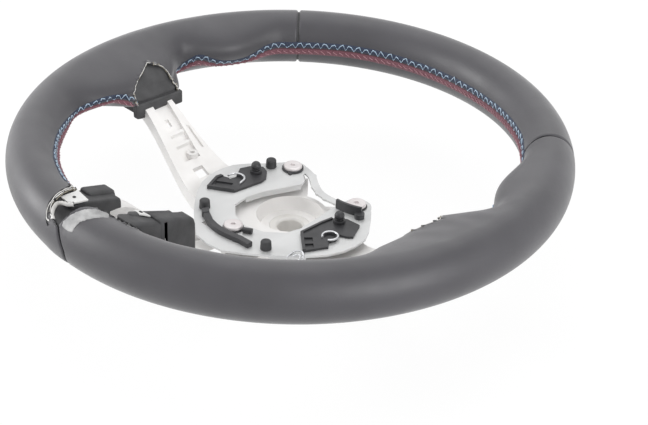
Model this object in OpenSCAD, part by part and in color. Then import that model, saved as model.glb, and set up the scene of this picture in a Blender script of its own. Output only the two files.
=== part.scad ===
// Car steering wheel without its driver's airbag: a cast magnesium armature, a foam grip
// covered in three panels of leather, and the sprung horn plate with its hardware.
// The origin is the centre of the column bore on the rear face of the hub. +Z points along
// the steering axis to the driver and +Y points to twelve o'clock. Sizes are in millimetres.

/* [Rim] */
// Radius of the circle through the middle of the grip
rim_r = 170; // [165:1:185]
// Height of that circle above the rear face of the hub
rim_h = 75; // [72:1:82]
// Width of the grip, measured along a radius
grip_w = 34.4; // [32:0.2:37]
// Thickness of the grip from front to back
grip_t = 39.2; // [36:0.2:44]
// Rise of the thumb rests out of the inner side of the grip
thumb_rise = 11; // [5:0.5:14]
// Depth of the finger recess below each side spoke
finger_cut = 6; // [2:0.5:8]
// Distance from the steering axis to the inner face of the leather at a side spoke
root_x = 129; // [126:1:136]

/* [Leather] */
// Thickness of the leather
leather_t = 1.2; // [0.8:0.1:1.8]
// Gap between the leather and the foam under it
leather_gap = 0.3; // [0.2:0.05:0.5]
// Width of the groove between two panels
seam_gap = 1.4; // [0.8:0.1:2.5]
// Angle of the upper left seam from twelve o'clock
seam_left = 45; // [38:1:50]
// Angle of the upper right seam from twelve o'clock
seam_right = 47; // [38:1:50]
// Angle of the lower seam past six o'clock
seam_low = 1.8; // [0:0.2:2.4]

/* [Armature] */
// Radius of the cast core ring's section
core_r = 7; // [6:0.5:9]
// Height of the front face of the hub casting
flange_h = 24; // [20:1:26]
// Thickness of the hub casting around its middle
flange_t = 9; // [6:0.5:12]
// Radius of the hub boss
boss_r = 26; // [24:0.5:32]
// Radius of the bowl in the front of the hub
bowl_r = 23; // [20:0.5:24]
// Depth of that bowl
bowl_d = 9; // [5:0.5:9.5]
// Thickness of a spoke
spoke_t = 11; // [9:0.5:14]
// Width of a side spoke where it enters the foam
spoke_w = 24; // [20:1:28]
// Distance of the side spokes' middle line below the steering axis
spoke_y = 12; // [8:1:15]
// Depth of the channel in a side spoke
channel_d = 3.6; // [2:0.2:5]
// Radius of the steel insert in the hub
insert_r = 14; // [12:0.5:17]
// Radius of the bore for the steering column
bore_r = 8.5; // [7:0.25:9.5]

/* [Horn plate] */
// Height of the horn plate's back over the hub casting
plate_gap = 6; // [5:0.25:8]
// Thickness of the sheet
plate_t = 1.5; // [1:0.1:2.5]
// Travel of the horn plate
horn_travel = 2.5; // [1.5:0.1:3.5]
// Width of the strap that joins the two wings
strap_w = 5.4; // [4:0.2:7]

/* [Hardware] */
// Radius of a guide bolt's head
bolt_head_r = 6.5; // [5.5:0.25:8]
// Height of a guide bolt's head
bolt_head_h = 2.5; // [2:0.25:4]
// Radius of a guide bolt's shank
bolt_r = 3; // [2.5:0.1:3.5]
// Running clearance between a guide bush and its bolt
bush_play = 0.06; // [0.02:0.02:0.1]
// Wall of a guide bush
bush_t = 1.2; // [1:0.1:1.8]
// Wire diameter of a horn spring
spring_wire = 1.1; // [0.8:0.1:1.4]
// Height of a rubber bumper
bumper_h = 6.3; // [5:0.1:10]
// Radius of a rubber bumper at its foot
bumper_r = 3.8; // [3:0.1:5]
// Thickness of an airbag bracket's base
bracket_t = 1.7; // [1.5:0.1:3]
// Diameter of a lock wire
wire_d = 1.5; // [1.2:0.1:2]

/* [Hidden] */
$fn = 48;

// Places of the three guide bolts, left, right and bottom
bolt_xy = [[-33.5, 34], [32, 31.5], [-3, -49]];
// Places of the horn contacts, each beside a guide bolt
contact_xy = [[-42, 2], [42, 2], [12, -43]];
// Places of the rubber bumpers
bumper_xy = [[-45.5, 24.5], [-35, -46], [30, -50]];
// Places of the centring pins
pin_xy = [[-45, 9.7], [40.2, 6.8]];
// Middles of the lock wires' hoops, and their radii
hoop_xy = [[-47.3, -7], [49.2, -10.5]];
hoop_r = [6, 5.2];

// Middle lines and free ends of the two lower legs
leg_x = [-29, 21];
stub_end = [-rim_r + 44, -rim_r + 58];
stub_w = [18, 16];
leg_w = 13;

grip_sides = 16;
core_gap = 0.2;
fit_gap = 0.3;
flat_gap = 0.1;
hole_gap = 0.1;
bowl_taper = 3;
rivet_r = 1.5;
rivet_d = 4;
plate_z = flange_h + plate_gap;
plate_h = plate_z + plate_t;
bush_foot_h = 1;
spring_pocket = 5;
spring_play = 0.4;
spring_r = bolt_r + 0.9 + spring_wire / 2;
bush_r = bolt_r + bush_play + bush_t;
bush_rim_h = 1;
bolt_top = plate_h + bush_rim_h + flat_gap + bolt_head_h;
seam_half = seam_gap / 2 / rim_r * 180 / PI;
contact_h = plate_z - horn_travel - flat_gap;

function ease(t) = let (c = min(max(t, 0), 1)) c * c * (3 - 2 * c);
function bump(d, w) = abs(d) >= w ? 0 : pow(1 - pow(d / w, 2), 2);
function wrap(d) = let (e = (d + 540) % 360) (e < 0 ? e + 360 : e) - 180;

// The grip's section. Angle a runs clockwise from twelve o'clock, and s runs round the
// section, with 0 at the outer side, 90 at the front and 180 at the inner side.
thumb_at = 65;
thumb_span = 16;
finger_at = 114;
finger_span = 18;
root_from = 77;
root_full = 89;
root_fade = 111;
root_end = 125;

function root_reach(a) = max(0, rim_r - grip_w / 2 - root_x / max(sin(a), 0.5))
    * ease((a - root_from) / (root_full - root_from))
    * (1 - ease((a - root_fade) / (root_end - root_fade)));

function grip_point(a, s, inset) = let (
    side = abs(a),
    thumb = thumb_rise * bump(side - thumb_at, thumb_span) * bump(wrap(s - 172), 75),
    root = root_reach(side) * bump(wrap(s - 178), 80),
    cut = 0.7 * finger_cut * bump(side - finger_at, finger_span) * bump(wrap(s - 228), 65),
    r = rim_r + (grip_w / 2 - inset) * cos(s) - thumb - root + cut,
    z = (grip_t / 2 - inset) * sin(s) + cut
) [r * sin(a), r * cos(a), rim_h + z];

// Faces between two neighbouring rings of points
function ring_faces(i, n, first, flip) = [
    for (j = [0:n - 1]) let (
        p = first + i * n + j,
        q = first + i * n + (j + 1) % n,
        r = q + n,
        t = p + n
    ) each (flip ? [[p, t, r], [p, r, q]] : [[p, q, r], [p, r, t]])
];

// Angles that the rings of the foam and of the leather share, so that their facets run
// side by side. They are closer together beside the side spokes.
fine_from = 50;
fine_to = 125;
fine_n = 30;
lower_n = 24;
upper_n = 22;
grid = concat(
    [for (i = [0:fine_n - 1]) fine_from + i * (fine_to - fine_from) / fine_n],
    [for (i = [0:lower_n - 1]) fine_to + i * (360 - 2 * fine_to) / lower_n],
    [for (i = [0:fine_n - 1]) 360 - fine_to + i * (fine_to - fine_from) / fine_n],
    [for (i = [0:upper_n - 1]) 360 - fine_from + i * 2 * fine_from / upper_n]
);

// Angles of the rings of one leather panel, with more rings at its two rolled edges
edge_1 = 0.3;
edge_2 = 0.9;
function panel_angles(from, to) = concat(
    [from, from + edge_1, from + edge_2],
    [for (turn = [-360, 0]) for (a = grid)
        if (a + turn > from + 2 * edge_2 && a + turn < to - 2 * edge_2) a + turn],
    [to - edge_2, to - edge_1, to]
);

// How far the outer face of a panel drops at its rolled edge
function edge_drop(a, from, to) = let (d = min(a - from, to - a))
    (leather_t - 0.3) * (1 - sqrt(1 - pow(1 - min(d / edge_2, 1), 2)));

module leather_panel(from, to) {
    angles = panel_angles(from, to);
    rings = len(angles);
    n = grip_sides;
    outer = [
        for (a = angles) for (j = [0:n - 1]) grip_point(a, j * 360 / n, edge_drop(a, from, to))
    ];
    inner = [for (a = angles) for (j = [0:n - 1]) grip_point(a, j * 360 / n, leather_t)];
    m = rings * n;
    ends = [
        for (j = [0:n - 1]) let (k = (j + 1) % n, e = m - n)
            each [
                [j, m + k, m + j], [j, k, m + k],
                [e + j, m + e + k, e + k], [e + j, m + e + j, m + e + k]
            ]
    ];
    polyhedron(
        points = concat(outer, inner),
        faces = concat(
            [for (i = [0:rings - 2]) each ring_faces(i, n, 0, true)],
            [for (i = [0:rings - 2]) each ring_faces(i, n, m, false)],
            ends
        )
    );
}

// Foam ring that fills the leather
module foam_ring() {
    rings = len(grid);
    n = grip_sides;
    inset = leather_t + leather_gap;
    points = [for (a = grid) for (j = [0:n - 1]) grip_point(wrap(a), j * 360 / n, inset)];
    faces = [
        for (i = [0:rings - 1]) for (j = [0:n - 1]) let (
            k = (j + 1) % n,
            p = i * n,
            q = ((i + 1) % rings) * n,
            left = grid[i] > 179 && grid[i] < 360 - seam_left
        ) each (left
            ? [[p + j, q + j, p + k], [q + j, q + k, p + k]]
            : [[p + j, q + k, p + k], [p + j, q + j, q + k]])
    ];
    polyhedron(points = points, faces = faces);
}

// Height of the upper face of a spoke at a distance x from the steering axis
spoke_in = 58;
spoke_out = 150;
leg_in = 66;
leg_out = 130;
spoke_high = rim_h - 3;
function spoke_top(x, start = spoke_in, end = spoke_out) = flange_h
    + (spoke_high - flange_h) * ease((x - start) / (end - start));

// A band that follows the spokes' profile, between two offsets from their upper face
module spoke_band(low, high, from, to, start = spoke_in, end = spoke_out) {
    steps = 22;
    xs = [for (i = [0:steps]) from + (to - from) * i / steps];
    rotate([90, 0, 0])
        linear_extrude(height = 160, center = true)
            polygon(concat(
                [for (x = xs) [x, spoke_top(x, start, end) + high]],
                [for (i = [0:steps]) [xs[steps - i], spoke_top(xs[steps - i], start, end) + low]]
            ));
}

// A column over an outline in plan
module column_over(points) {
    linear_extrude(height = 120)
        polygon(points);
}

// Half width of a side spoke, which flares towards the hub
function spoke_half(x) = spoke_w / 2 + 11 * pow(max(0, (122 - x) / 64), 1.3);

// Right-hand side spoke, seen from the driver
module side_spoke(grow) {
    hub_end = 34;
    rim_end = rim_r - 2;
    xs = [for (i = [0:8]) hub_end + (122 - hub_end) * i / 8];
    difference() {
        intersection() {
            spoke_band(-spoke_t - grow, grow, hub_end, rim_end);
            column_over(concat(
                [for (x = xs) [x, -spoke_y - spoke_half(max(x, 52)) - grow]],
                [[rim_end, -spoke_y - spoke_w / 2 - grow], [rim_end, -spoke_y + spoke_w / 2 + grow]],
                [for (i = [0:8]) [xs[8 - i], -spoke_y + spoke_half(max(xs[8 - i], 52)) + grow]]
            ));
        }
        if (grow == 0) {
            spoke_channel();
            spoke_underside();
        }
    }
    if (grow == 0)
        spoke_details();
}

// Open channel in the front of a side spoke, with its slot, square hole and side recess
module spoke_channel() {
    intersection() {
        spoke_band(-channel_d, 20, 70, 124);
        column_over([[124, -spoke_y - 5], [86, -spoke_y - 8], [86, -spoke_y + 6], [124, -spoke_y + 8]]);
    }
    intersection() {
        spoke_band(-channel_d * 0.6, 20, 70, 124);
        column_over([[106, -spoke_y + 10], [91, -spoke_y + 11], [90, -spoke_y + 13], [105, -spoke_y + 12]]);
    }
    translate([72, -18.5, 0])
        cube([8, 9, 60]);
    translate([110.5, -13.4, 0])
        cube([5, 3, 80]);
}

// Pocket behind the spoke, as castings have to keep an even wall
spoke_wall = 3;
module spoke_underside() {
    intersection() {
        spoke_band(-spoke_t - 1, -channel_d - spoke_wall, 68, 120);
        column_over([[120, -spoke_y - 8], [68, -spoke_y - 15], [68, -spoke_y + 15], [120, -spoke_y + 8]]);
    }
    intersection() {
        spoke_band(-spoke_t - 1, -spoke_wall, 67, 85.5);
        column_over([[85.5, -spoke_y - 12], [67, -spoke_y - 14], [67, -spoke_y + 14], [85.5, -spoke_y + 12]]);
    }
}

// Ribs and the round boss that stand in the channel
module spoke_details() {
    difference() {
        translate([89.5, -spoke_y + 2, spoke_top(89.5) - channel_d - 2])
            cylinder(r = 4.2, h = channel_d + 2.6);
        translate([89.5, -spoke_y + 2, spoke_top(89.5) - channel_d])
            cylinder(r = 1.6, h = 10);
    }
    for (x = [97, 104])
        intersection() {
            spoke_band(-channel_d - 1, -1.2, x, x + 1.6);
            column_over([[x, -spoke_y - 8], [x + 2, -spoke_y - 8], [x + 2, -spoke_y + 8], [x, -spoke_y + 8]]);
        }
}

// One lower leg, along -Y, round a middle line at x
module leg(x, w, grow) {
    intersection() {
        rotate([0, 0, -90])
            spoke_band(-spoke_t - grow, grow, 34, rim_r - 2, leg_in, leg_out);
        column_over([
            [x - w / 2 - grow, -rim_r], [x + w / 2 + grow, -rim_r],
            [x * 0.75 + w / 2 + 3 + grow, -34], [x * 0.75 - w / 2 - 3 - grow, -34]
        ]);
    }
}

// Cast core ring of the rim, a channel that is open to the back
module core_ring(grow) {
    r = core_r + grow;
    translate([0, 0, rim_h])
        rotate_extrude($fn = 96)
            translate([rim_r, 0])
                difference() {
                    translate([-r, -r + 1])
                        square([2 * r, 2 * r - 1]);
                    if (grow == 0)
                        translate([-core_r + 3.2, -core_r])
                            square([2 * core_r - 6.4, core_r + 2.5]);
                }
}

module hub_plan() {
    circle(r = boss_r);
    for (p = bolt_xy) {
        translate(p)
            circle(r = 9);
        rotate(atan2(p[1], p[0]))
            translate([0, -11])
                square([norm(p), 22]);
    }
    polygon([[-54, -34], [-20, -46], [20, -46], [54, -34], [54, 4], [26, 20], [-26, 20], [-54, 4]]);
}

module armature() {
    color("#d9d8d2")
        difference() {
            union() {
                core_ring(0);
                side_spoke(0);
                mirror([1, 0, 0])
                    side_spoke(0);
                for (x = leg_x)
                    leg(x, leg_w, 0);
                translate([0, 0, flange_h - flange_t])
                    linear_extrude(height = flange_t)
                        hub_plan();
                cylinder(r = boss_r + 0.6, h = flange_h - 1);
            }
            translate([0, 0, flange_h - bowl_d])
                cylinder(r1 = bowl_r - bowl_taper, r2 = bowl_r + bowl_taper, h = 2 * bowl_d);
            translate([0, 0, -1])
                cylinder(r = insert_r, h = flange_h);
            for (p = bolt_xy)
                translate([p[0], p[1], 0]) {
                    cylinder(r = bolt_r + hole_gap, h = 60);
                    translate([0, 0, flange_h - spring_pocket])
                        cylinder(r = spring_r + spring_wire / 2 + spring_play, h = 60);
                }
            for (p = contact_xy)
                translate([p[0], p[1], flange_h - rivet_d])
                    cylinder(r = rivet_r + hole_gap, h = 30);
        }
}

// Splined steel sleeve cast into the hub, modelled as a plain bore
module spline_insert() {
    color("#8d9094")
        difference() {
            cylinder(r = insert_r, h = flange_h - bowl_d);
            translate([0, 0, -1])
                cylinder(r = bore_r, h = flange_h + 2);
            translate([0, 0, flange_h - bowl_d - 1.5])
                cylinder(r1 = bore_r, r2 = bore_r + 1.5, h = 1.6);
        }
}

// Foam collar that the right-hand spoke leaves the grip through
lip_x = root_x - 5;
lip_low = -19.5;
lip_high = -9;
lip_l = 42.5;
module collar() {
    intersection() {
        translate([0, -spoke_y + 6, rim_h])
            rotate([90, 0, 0])
                linear_extrude(height = 40, center = true)
                    polygon([
                        [150, 10.5], [root_x + 11.5, 10.5], [lip_x, lip_high],
                        [lip_x, lip_low - 2],
                        [150, lip_low - 2]
                    ]);
        arch(-2 * fit_gap, 110, 150);
    }
    translate([lip_x, -spoke_y - 20, rim_h + lip_low])
        cube([root_x - 2 * fit_gap - lip_x, lip_l, lip_high - lip_low]);
}

// Pointed opening in the leather, seen along the spoke
module arch(grow, from, to) {
    half = 19.5 + grow;
    translate([from, -spoke_y + 1, rim_h])
        rotate([90, 0, 90])
            linear_extrude(height = to - from)
                polygon([
                    [-half, -18], [-half, -4], [-half + 1.5, 2.5], [-12.5, 7.5 + grow],
                    [-1.5, 11 + grow], [3, 12 + grow], [8, 11 + grow], [12.5, 8.5 + grow],
                    [half - 4.5, 3], [half, -9], [half, -18]
                ]);
}

// Foam covers of the two lower legs. The left one has a ridge along its outer side
stub_slope = 0.28;
stub_root = [-rim_r + 5, -rim_r + 11];
stub_rise = [15, 19];
stub_wall = 3;
ridge_y = [stub_root[0] + 15.5, stub_end[0] - 2];
ridge_rise = 20;
ridge_w = 8;
slot_y = [stub_root[0] + 18, stub_root[1] + 26];
function stub_z(y, rise) = rim_h + rise - stub_slope * (y - stub_root[0]);

module stub_bar(x, w, y_from, y_to, rise) {
    steps = 6;
    ys = [for (i = [0:steps]) y_to + (y_from - y_to) * i / steps];
    translate([x, 0, 0])
        rotate([90, 0, 90])
            linear_extrude(height = w)
                polygon(concat(
                    [
                        [y_from, stub_z(y_from, rise)], [y_to - 3, stub_z(y_to - 3, rise)],
                        [y_to, stub_z(y_to, rise) - 3]
                    ],
                    [for (y = ys) [y, spoke_top(-y, leg_in, leg_out) - spoke_t - stub_wall]]
                ));
}

module stub(i) {
    side = leg_x[i] - stub_w[i] / 2;
    stub_bar(side, stub_w[i], stub_root[i], stub_end[i], stub_rise[i]);
    if (i == 0)
        stub_bar(side, ridge_w, ridge_y[0], ridge_y[1], ridge_rise);
}

module rim_foam() {
    color("#232326")
        difference() {
            union() {
                foam_ring();
                collar();
                mirror([1, 0, 0])
                    collar();
                stub(0);
                stub(1);
            }
            core_ring(core_gap);
            side_spoke(core_gap);
            mirror([1, 0, 0])
                side_spoke(core_gap);
            for (x = leg_x)
                leg(x, leg_w, core_gap);
            for (i = [0, 1]) {
                translate([leg_x[i] + (i == 0 ? -stub_w[i] / 2 - 1 : stub_w[i] / 2 - 2), slot_y[i], rim_h - 14])
                    cube([3, 4, 14]);
                trim_place(i)
                    translate([-trim_w[i] / 2 - fit_gap, -trim_l[i] / 2 - fit_gap, -trim_seat])
                        cube([trim_w[i] + 2 * fit_gap, trim_l[i] + 2 * fit_gap, 20]);
            }
        }
}

module leather_top() {
    color("#5b5b60")
        leather_panel(-seam_left + seam_half, seam_right - seam_half);
}

// Opening in the leather for the right-hand spoke and its collar
module side_opening() {
    arch(0, 110, 152);
    side_spoke(leather_gap);
}

// Opening in the leather for the two lower legs. Between the left leg and the lower seam
// it reaches over the front of the grip.
opening_side = 1.5;
opening_y = [stub_root[0] - 1, stub_root[1] - 1];
opening_left = leg_x[0] - stub_w[0] / 2 - opening_side;
module leg_opening() {
    for (i = [0, 1])
        translate([leg_x[i] - stub_w[i] / 2 - opening_side, opening_y[i], rim_h - 18])
            cube([stub_w[i] + 2 * opening_side, 45, 60]);
    translate([0, 0, rim_h - 10])
        linear_extrude(height = 50)
            polygon([
                [opening_left, 40 - rim_r], [opening_left, 8 - rim_r], [-36.5, 3 - rim_r],
                [-30.5, -1 - rim_r], [-28.5, -7.5 - rim_r], [-24, -11 - rim_r],
                [-16, -13.5 - rim_r], [-8.5, -13.8 - rim_r], [-5.5, -8 - rim_r],
                [-5, opening_y[1]], [leg_x[1], opening_y[1]], [leg_x[1], 40 - rim_r]
            ]);
}

module leather_right() {
    color("#57575c")
        difference() {
            leather_panel(seam_right + seam_half, 180 + seam_low - seam_half);
            side_opening();
            leg_opening();
        }
}

module leather_left() {
    color("#57575c")
        difference() {
            mirror([1, 0, 0])
                leather_panel(seam_left + seam_half, 180 - seam_low - seam_half);
            mirror([1, 0, 0])
                side_opening();
            leg_opening();
        }
}

// Strip of lining turned out over the edge of the right panel, beside the lower seam
flap_from = [[39, 179], [63, 179], [78, 178], [93, 176.6], [108, 175.6], [123, 175.2]];
flap_to = [[39, 182], [63, 181.6], [78, 181], [93, 180.5], [108, 180], [123, 179.2]];
flap_t = 1;
module lining_flap() {
    ss = [39, 51, 63, 78, 93, 108, 123];
    steps = 3;
    angles = [for (i = [0:steps]) [for (s = ss)
        lookup(s, flap_from) + (lookup(s, flap_to) - lookup(s, flap_from)) * i / steps]];
    n = len(ss);
    low = [for (a = angles) for (j = [0:n - 1]) grip_point(a[j], ss[j], -leather_gap)];
    high = [for (a = angles) for (j = [0:n - 1]) grip_point(a[j], ss[j], -leather_gap - flap_t)];
    m = len(low);
    r = len(angles);
    color("#c9c9c8")
        polyhedron(
            points = concat(low, high),
            faces = concat(
                [for (i = [0:r - 2]) for (j = [0:n - 2]) let (p = i * n + j)
                    each [[p, p + n + 1, p + n], [p, p + 1, p + n + 1]]],
                [for (i = [0:r - 2]) for (j = [0:n - 2]) let (p = m + i * n + j)
                    each [[p, p + n, p + n + 1], [p, p + n + 1, p + 1]]],
                [for (i = [0:r - 2]) let (p = i * n)
                    each [[p, m + p + n, m + p], [p, p + n, m + p + n]]],
                [for (i = [0:r - 2]) let (p = i * n + n - 1)
                    each [[p, m + p, m + p + n], [p, m + p + n, p + n]]],
                [for (j = [0:n - 2]) let (p = j)
                    each [[p, m + p + 1, p + 1], [p, m + p, m + p + 1]]],
                [for (j = [0:n - 2]) let (p = (r - 1) * n + j)
                    each [[p, p + 1, m + p + 1], [p, m + p + 1, m + p]]]
            )
        );
}

// Thin nut plates for the lower trim, seated on the foam of the lower legs
trim_xy = [[leg_x[0] + 1, stub_root[0] + 8], [leg_x[1] - 3.5, stub_root[1] + 18]];
trim_w = [12.5, 7.4];
trim_l = [13, 8];
trim_t = 1;
trim_seat = 0.5;
module trim_place(i) {
    p = trim_xy[i];
    translate([p[0], p[1], stub_z(p[1], stub_rise[i])])
        rotate([-atan(stub_slope), 0, 0])
            children();
}

module trim_plate(i) {
    color("#e8e8e6")
        trim_place(i)
            difference() {
                translate([-trim_w[i] / 2, -trim_l[i] / 2, flat_gap - trim_seat])
                    cube([trim_w[i], trim_l[i], trim_t]);
                translate([0, 3, -2])
                    cylinder(r = 1.2, h = 4);
            }
}

module horn_plate_plan() {
    polygon([
        [0, -74], [13, -72.5], [24, -64.5], [37, -54], [48, -43], [54, -36.5], [62, -25],
        [65.8, -14], [66.5, -4], [65, 6.5], [59.5, 15.5], [50.4, 26.5], [43, 34.5], [36, 40],
        [25, 38], [21.5, 30], [22, 20], [24, 8], [25.5, -4], [27, -16], [24.5, -27],
        [14, -37], [0, -41],
        [-14, -37], [-24.5, -28], [-26.5, -16], [-24.5, -3], [-20, 9], [-14, 24], [-16, 29],
        [-22, 33], [-26, 41], [-38, 42], [-44, 36], [-50.4, 26.5], [-59.5, 15.5], [-65, 6.5],
        [-66.5, -4], [-65.8, -14], [-62, -25], [-54, -36.5], [-48, -43], [-37, -54],
        [-24, -64.5], [-13, -72.5]
    ]);
    for (i = [0, 1])
        translate(bolt_xy[i])
            circle(r = 10);
}

module strap_plan() {
    line = [[-29, 40.5], [-17.5, 37.5], [-6, 29.5], [2, 25.8], [10, 24.8], [23, 26]];
    for (i = [0:len(line) - 2]) {
        d = line[i + 1] - line[i];
        translate(line[i])
            rotate(atan2(d[1], d[0]))
                translate([0, -strap_w / 2])
                    square([norm(d), strap_w]);
        translate(line[i + 1])
            circle(r = strap_w / 2 + 0.4);
    }
}

module horn_plate() {
    skirt_h = 3;
    color("#d3d4d6")
        difference() {
            union() {
                translate([0, 0, plate_z])
                    linear_extrude(height = plate_t) {
                        horn_plate_plan();
                        strap_plan();
                    }
                // Turned-down lip along the inner edge of the left wing
                translate([0, 0, plate_z - 3])
                    linear_extrude(height = 3.2)
                        polygon([
                            [-15.9, 24], [-21.9, 9], [-26.4, -3], [-28.4, -16],
                            [-26.9, -16], [-24.9, -3], [-20.4, 9], [-14.4, 24]
                        ]);
                // Turned-down lip along the inner edge of the right wing
                translate([0, 0, plate_z - 3])
                    linear_extrude(height = 3.2)
                        polygon([
                            [23.9, 19], [25.9, 8], [27.4, -4], [28.9, -16],
                            [27.4, -16], [25.9, -4], [24.4, 8], [22.4, 19]
                        ]);
                // Skirt along the lower left and lower right edges
                for (side = [0, 1])
                    mirror([side, 0, 0])
                        translate([0, 0, plate_z - skirt_h])
                            linear_extrude(height = skirt_h + 0.2)
                                polygon([
                                    [37.1, -53.4], [47.5, -42.9], [53.5, -36.4],
                                    [52.6, -35.6], [46.6, -42], [36.4, -52.6]
                                ]);
            }
            for (p = bolt_xy)
                translate([p[0], p[1], plate_z - 5])
                    cylinder(r = bush_r + hole_gap / 2, h = 12);
            // Windows beside the lower guide bolt
            translate([-22, -60, plate_z - 10])
                cube([34, 5, 20]);
        }
}

module guide_bolt(i) {
    p = bolt_xy[i];
    color("#e6dcdc")
        translate([p[0], p[1], 0])
            difference() {
                union() {
                    translate([0, 0, flange_h - flange_t])
                        cylinder(r = bolt_r, h = bolt_top - flange_h + flange_t - 1);
                    translate([0, 0, bolt_top - bolt_head_h])
                        cylinder(r = bolt_head_r, h = bolt_head_h - 0.8);
                    translate([0, 0, bolt_top - 0.8])
                        cylinder(r1 = bolt_head_r, r2 = bolt_head_r - 0.8, h = 0.8);
                }
                translate([0, 0, bolt_top - 1.8])
                    cylinder(r = 1.8, h = 5, $fn = 6);
            }
}

module guide_bush(i) {
    p = bolt_xy[i];
    color("#2a2a2d")
        translate([p[0], p[1], 0])
            difference() {
                union() {
                    translate([0, 0, plate_z - bush_foot_h])
                        cylinder(r = bush_r, h = plate_t + bush_foot_h);
                    translate([0, 0, plate_h])
                        cylinder(r = bolt_head_r + 0.6, h = bush_rim_h);
                    translate([0, 0, plate_z - bush_foot_h])
                        cylinder(r = bush_r + 1.2, h = bush_foot_h);
                }
                translate([0, 0, plate_z - 10])
                    cylinder(r = bolt_r + bush_play, h = 30);
            }
}

// Horn spring, a coil between its pocket in the casting and the foot of the bush
spring_turns = 4;
module horn_spring(i) {
    p = bolt_xy[i];
    low = flange_h - spring_pocket;
    high = plate_z - bush_foot_h;
    pitch = (high - low - spring_wire) / spring_turns;
    steps = 14;
    sides = 6;
    count = spring_turns * steps;
    points = [
        for (k = [0:count]) let (a = k * 360 / steps) for (j = [0:sides - 1]) let (
            b = j * 360 / sides,
            rr = spring_r + spring_wire / 2 * cos(b)
        ) [rr * cos(a), rr * sin(a), low + spring_wire / 2 + k * pitch / steps + spring_wire / 2 * sin(b)]
    ];
    color("#9b9ca0")
        translate([p[0], p[1], 0])
            polyhedron(
                points = points,
                faces = concat(
                    [for (k = [0:count - 1]) each ring_faces(k, sides, 0, false)],
                    [[for (j = [0:sides - 1]) sides - 1 - j]],
                    [[for (j = [0:sides - 1]) count * sides + j]]
                )
            );
}

// Riveted contact button that the horn plate meets at the end of its travel
module contact(i) {
    p = contact_xy[i];
    color("#b08d57")
        translate([p[0], p[1], 0]) {
            translate([0, 0, flange_h])
                cylinder(r = 2.6, h = contact_h - flange_h);
            translate([0, 0, flange_h - rivet_d])
                cylinder(r = rivet_r, h = rivet_d + 0.2);
        }
}

// Moulded bracket on the left wing that holds one end of the airbag's lock
bracket_rim = 1;
module airbag_bracket_left() {
    color("#1d1d20")
        difference() {
            union() {
                translate([0, 0, plate_h])
                    linear_extrude(height = bracket_t)
                        polygon([
                            [-52.5, -28.8], [-58.5, -15.5], [-58, -11.5], [-51.5, -9.5], [-50.5, -3.5],
                            [-56.3, 5], [-53, 14.5], [-47, 18.5], [-41, 16.4], [-35, 10],
                            [-33.5, 4.5], [-36, -18.4]
                        ]);
                translate([0, 0, plate_h])
                    linear_extrude(height = bracket_t + bracket_rim)
                        polygon([
                            [-52.5, -28.8], [-58.5, -15.5], [-58, -11.5], [-55.6, -11], [-56.2, -15.8],
                            [-51.6, -25.8], [-37.8, -17.3], [-36, -18.4]
                        ]);
            }
            translate([-51.6, -23, plate_h + 0.6])
                rotate([0, 0, 33])
                    cube([12, 5, 10]);
            translate([hoop_xy[0][0], hoop_xy[0][1], plate_h + 0.6])
                cylinder(r = hoop_r[0] - hoop_wall, h = 10);
            translate([pin_xy[0][0], pin_xy[0][1], plate_h - 1])
                cylinder(r = pin_r + hole_gap, h = 20);
        }
}

// Moulded bracket on the right wing
module airbag_bracket_right() {
    color("#1d1d20")
        difference() {
            union() {
                translate([0, 0, plate_h])
                    linear_extrude(height = bracket_t)
                        polygon([
                            [32.3, -21.4], [49.4, -35.5], [57, -19.8], [54.5, -17], [52.8, -14.5],
                            [54, -10], [51.5, -4], [56.6, -1.8], [59, 1], [51.8, 14.5],
                            [40.8, 13.5], [33.4, 6.6], [32.3, -3]
                        ]);
                translate([0, 0, plate_h])
                    linear_extrude(height = bracket_t + bracket_rim)
                        polygon([
                            [32.3, -21.4], [49.4, -35.5], [50.2, -33.8], [34, -20.4], [34, -3],
                            [34.9, 6], [33.4, 6.6], [32.3, -3]
                        ]);
            }
            for (x = [0, 7.5])
                translate([38.5, -23.9, plate_h + 0.6])
                    rotate([0, 0, -39.5])
                        translate([x, 0, 0])
                            cube([5, 5.5, 10]);
            translate([hoop_xy[1][0], hoop_xy[1][1], plate_h + 0.6])
                cylinder(r = hoop_r[1] - hoop_wall, h = 10);
            translate([pin_xy[1][0], pin_xy[1][1], plate_h - 1])
                cylinder(r = pin_r + hole_gap, h = 20);
        }
}

// Spring wire that locks the airbag, a bent hoop that lies on its bracket
hoop_wall = 1.3;
module lock_wire(i, turn, sweep, tail) {
    color("#c9cacc")
        translate([hoop_xy[i][0], hoop_xy[i][1], plate_h + bracket_t + wire_d / 2 + 0.02])
            rotate([0, 0, turn]) {
                rotate_extrude(angle = sweep, $fn = 64)
                    translate([hoop_r[i], 0])
                        circle(d = wire_d, $fn = 16);
                translate([hoop_r[i], 0, 0])
                    rotate([90, 0, 0])
                        cylinder(d = wire_d, h = tail, $fn = 16);
            }
}

// Rubber bumper that carries the airbag, with a flat top
module bumper(i) {
    p = bumper_xy[i];
    chamfer = 0.7;
    color("#242427")
        translate([p[0], p[1], plate_h]) {
            cylinder(r1 = bumper_r, r2 = bumper_r - 0.3, h = bumper_h - chamfer);
            translate([0, 0, bumper_h - chamfer])
                cylinder(r1 = bumper_r - 0.3, r2 = bumper_r - 0.3 - chamfer, h = chamfer);
        }
}

// Domed pin that centres the airbag on a bracket
pin_r = 2;
module centring_pin(i) {
    p = pin_xy[i];
    color("#202023")
        translate([p[0], p[1], 0]) {
            translate([0, 0, plate_h])
                cylinder(r = pin_r, h = 8);
            translate([0, 0, plate_h + bracket_t])
                cylinder(r = 4, h = 2.2);
            translate([0, 0, plate_h + bracket_t + 5])
                intersection() {
                    sphere(r = 3.4);
                    translate([-5, -5, -2])
                        cube([10, 10, 10]);
                }
        }
}

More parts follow.
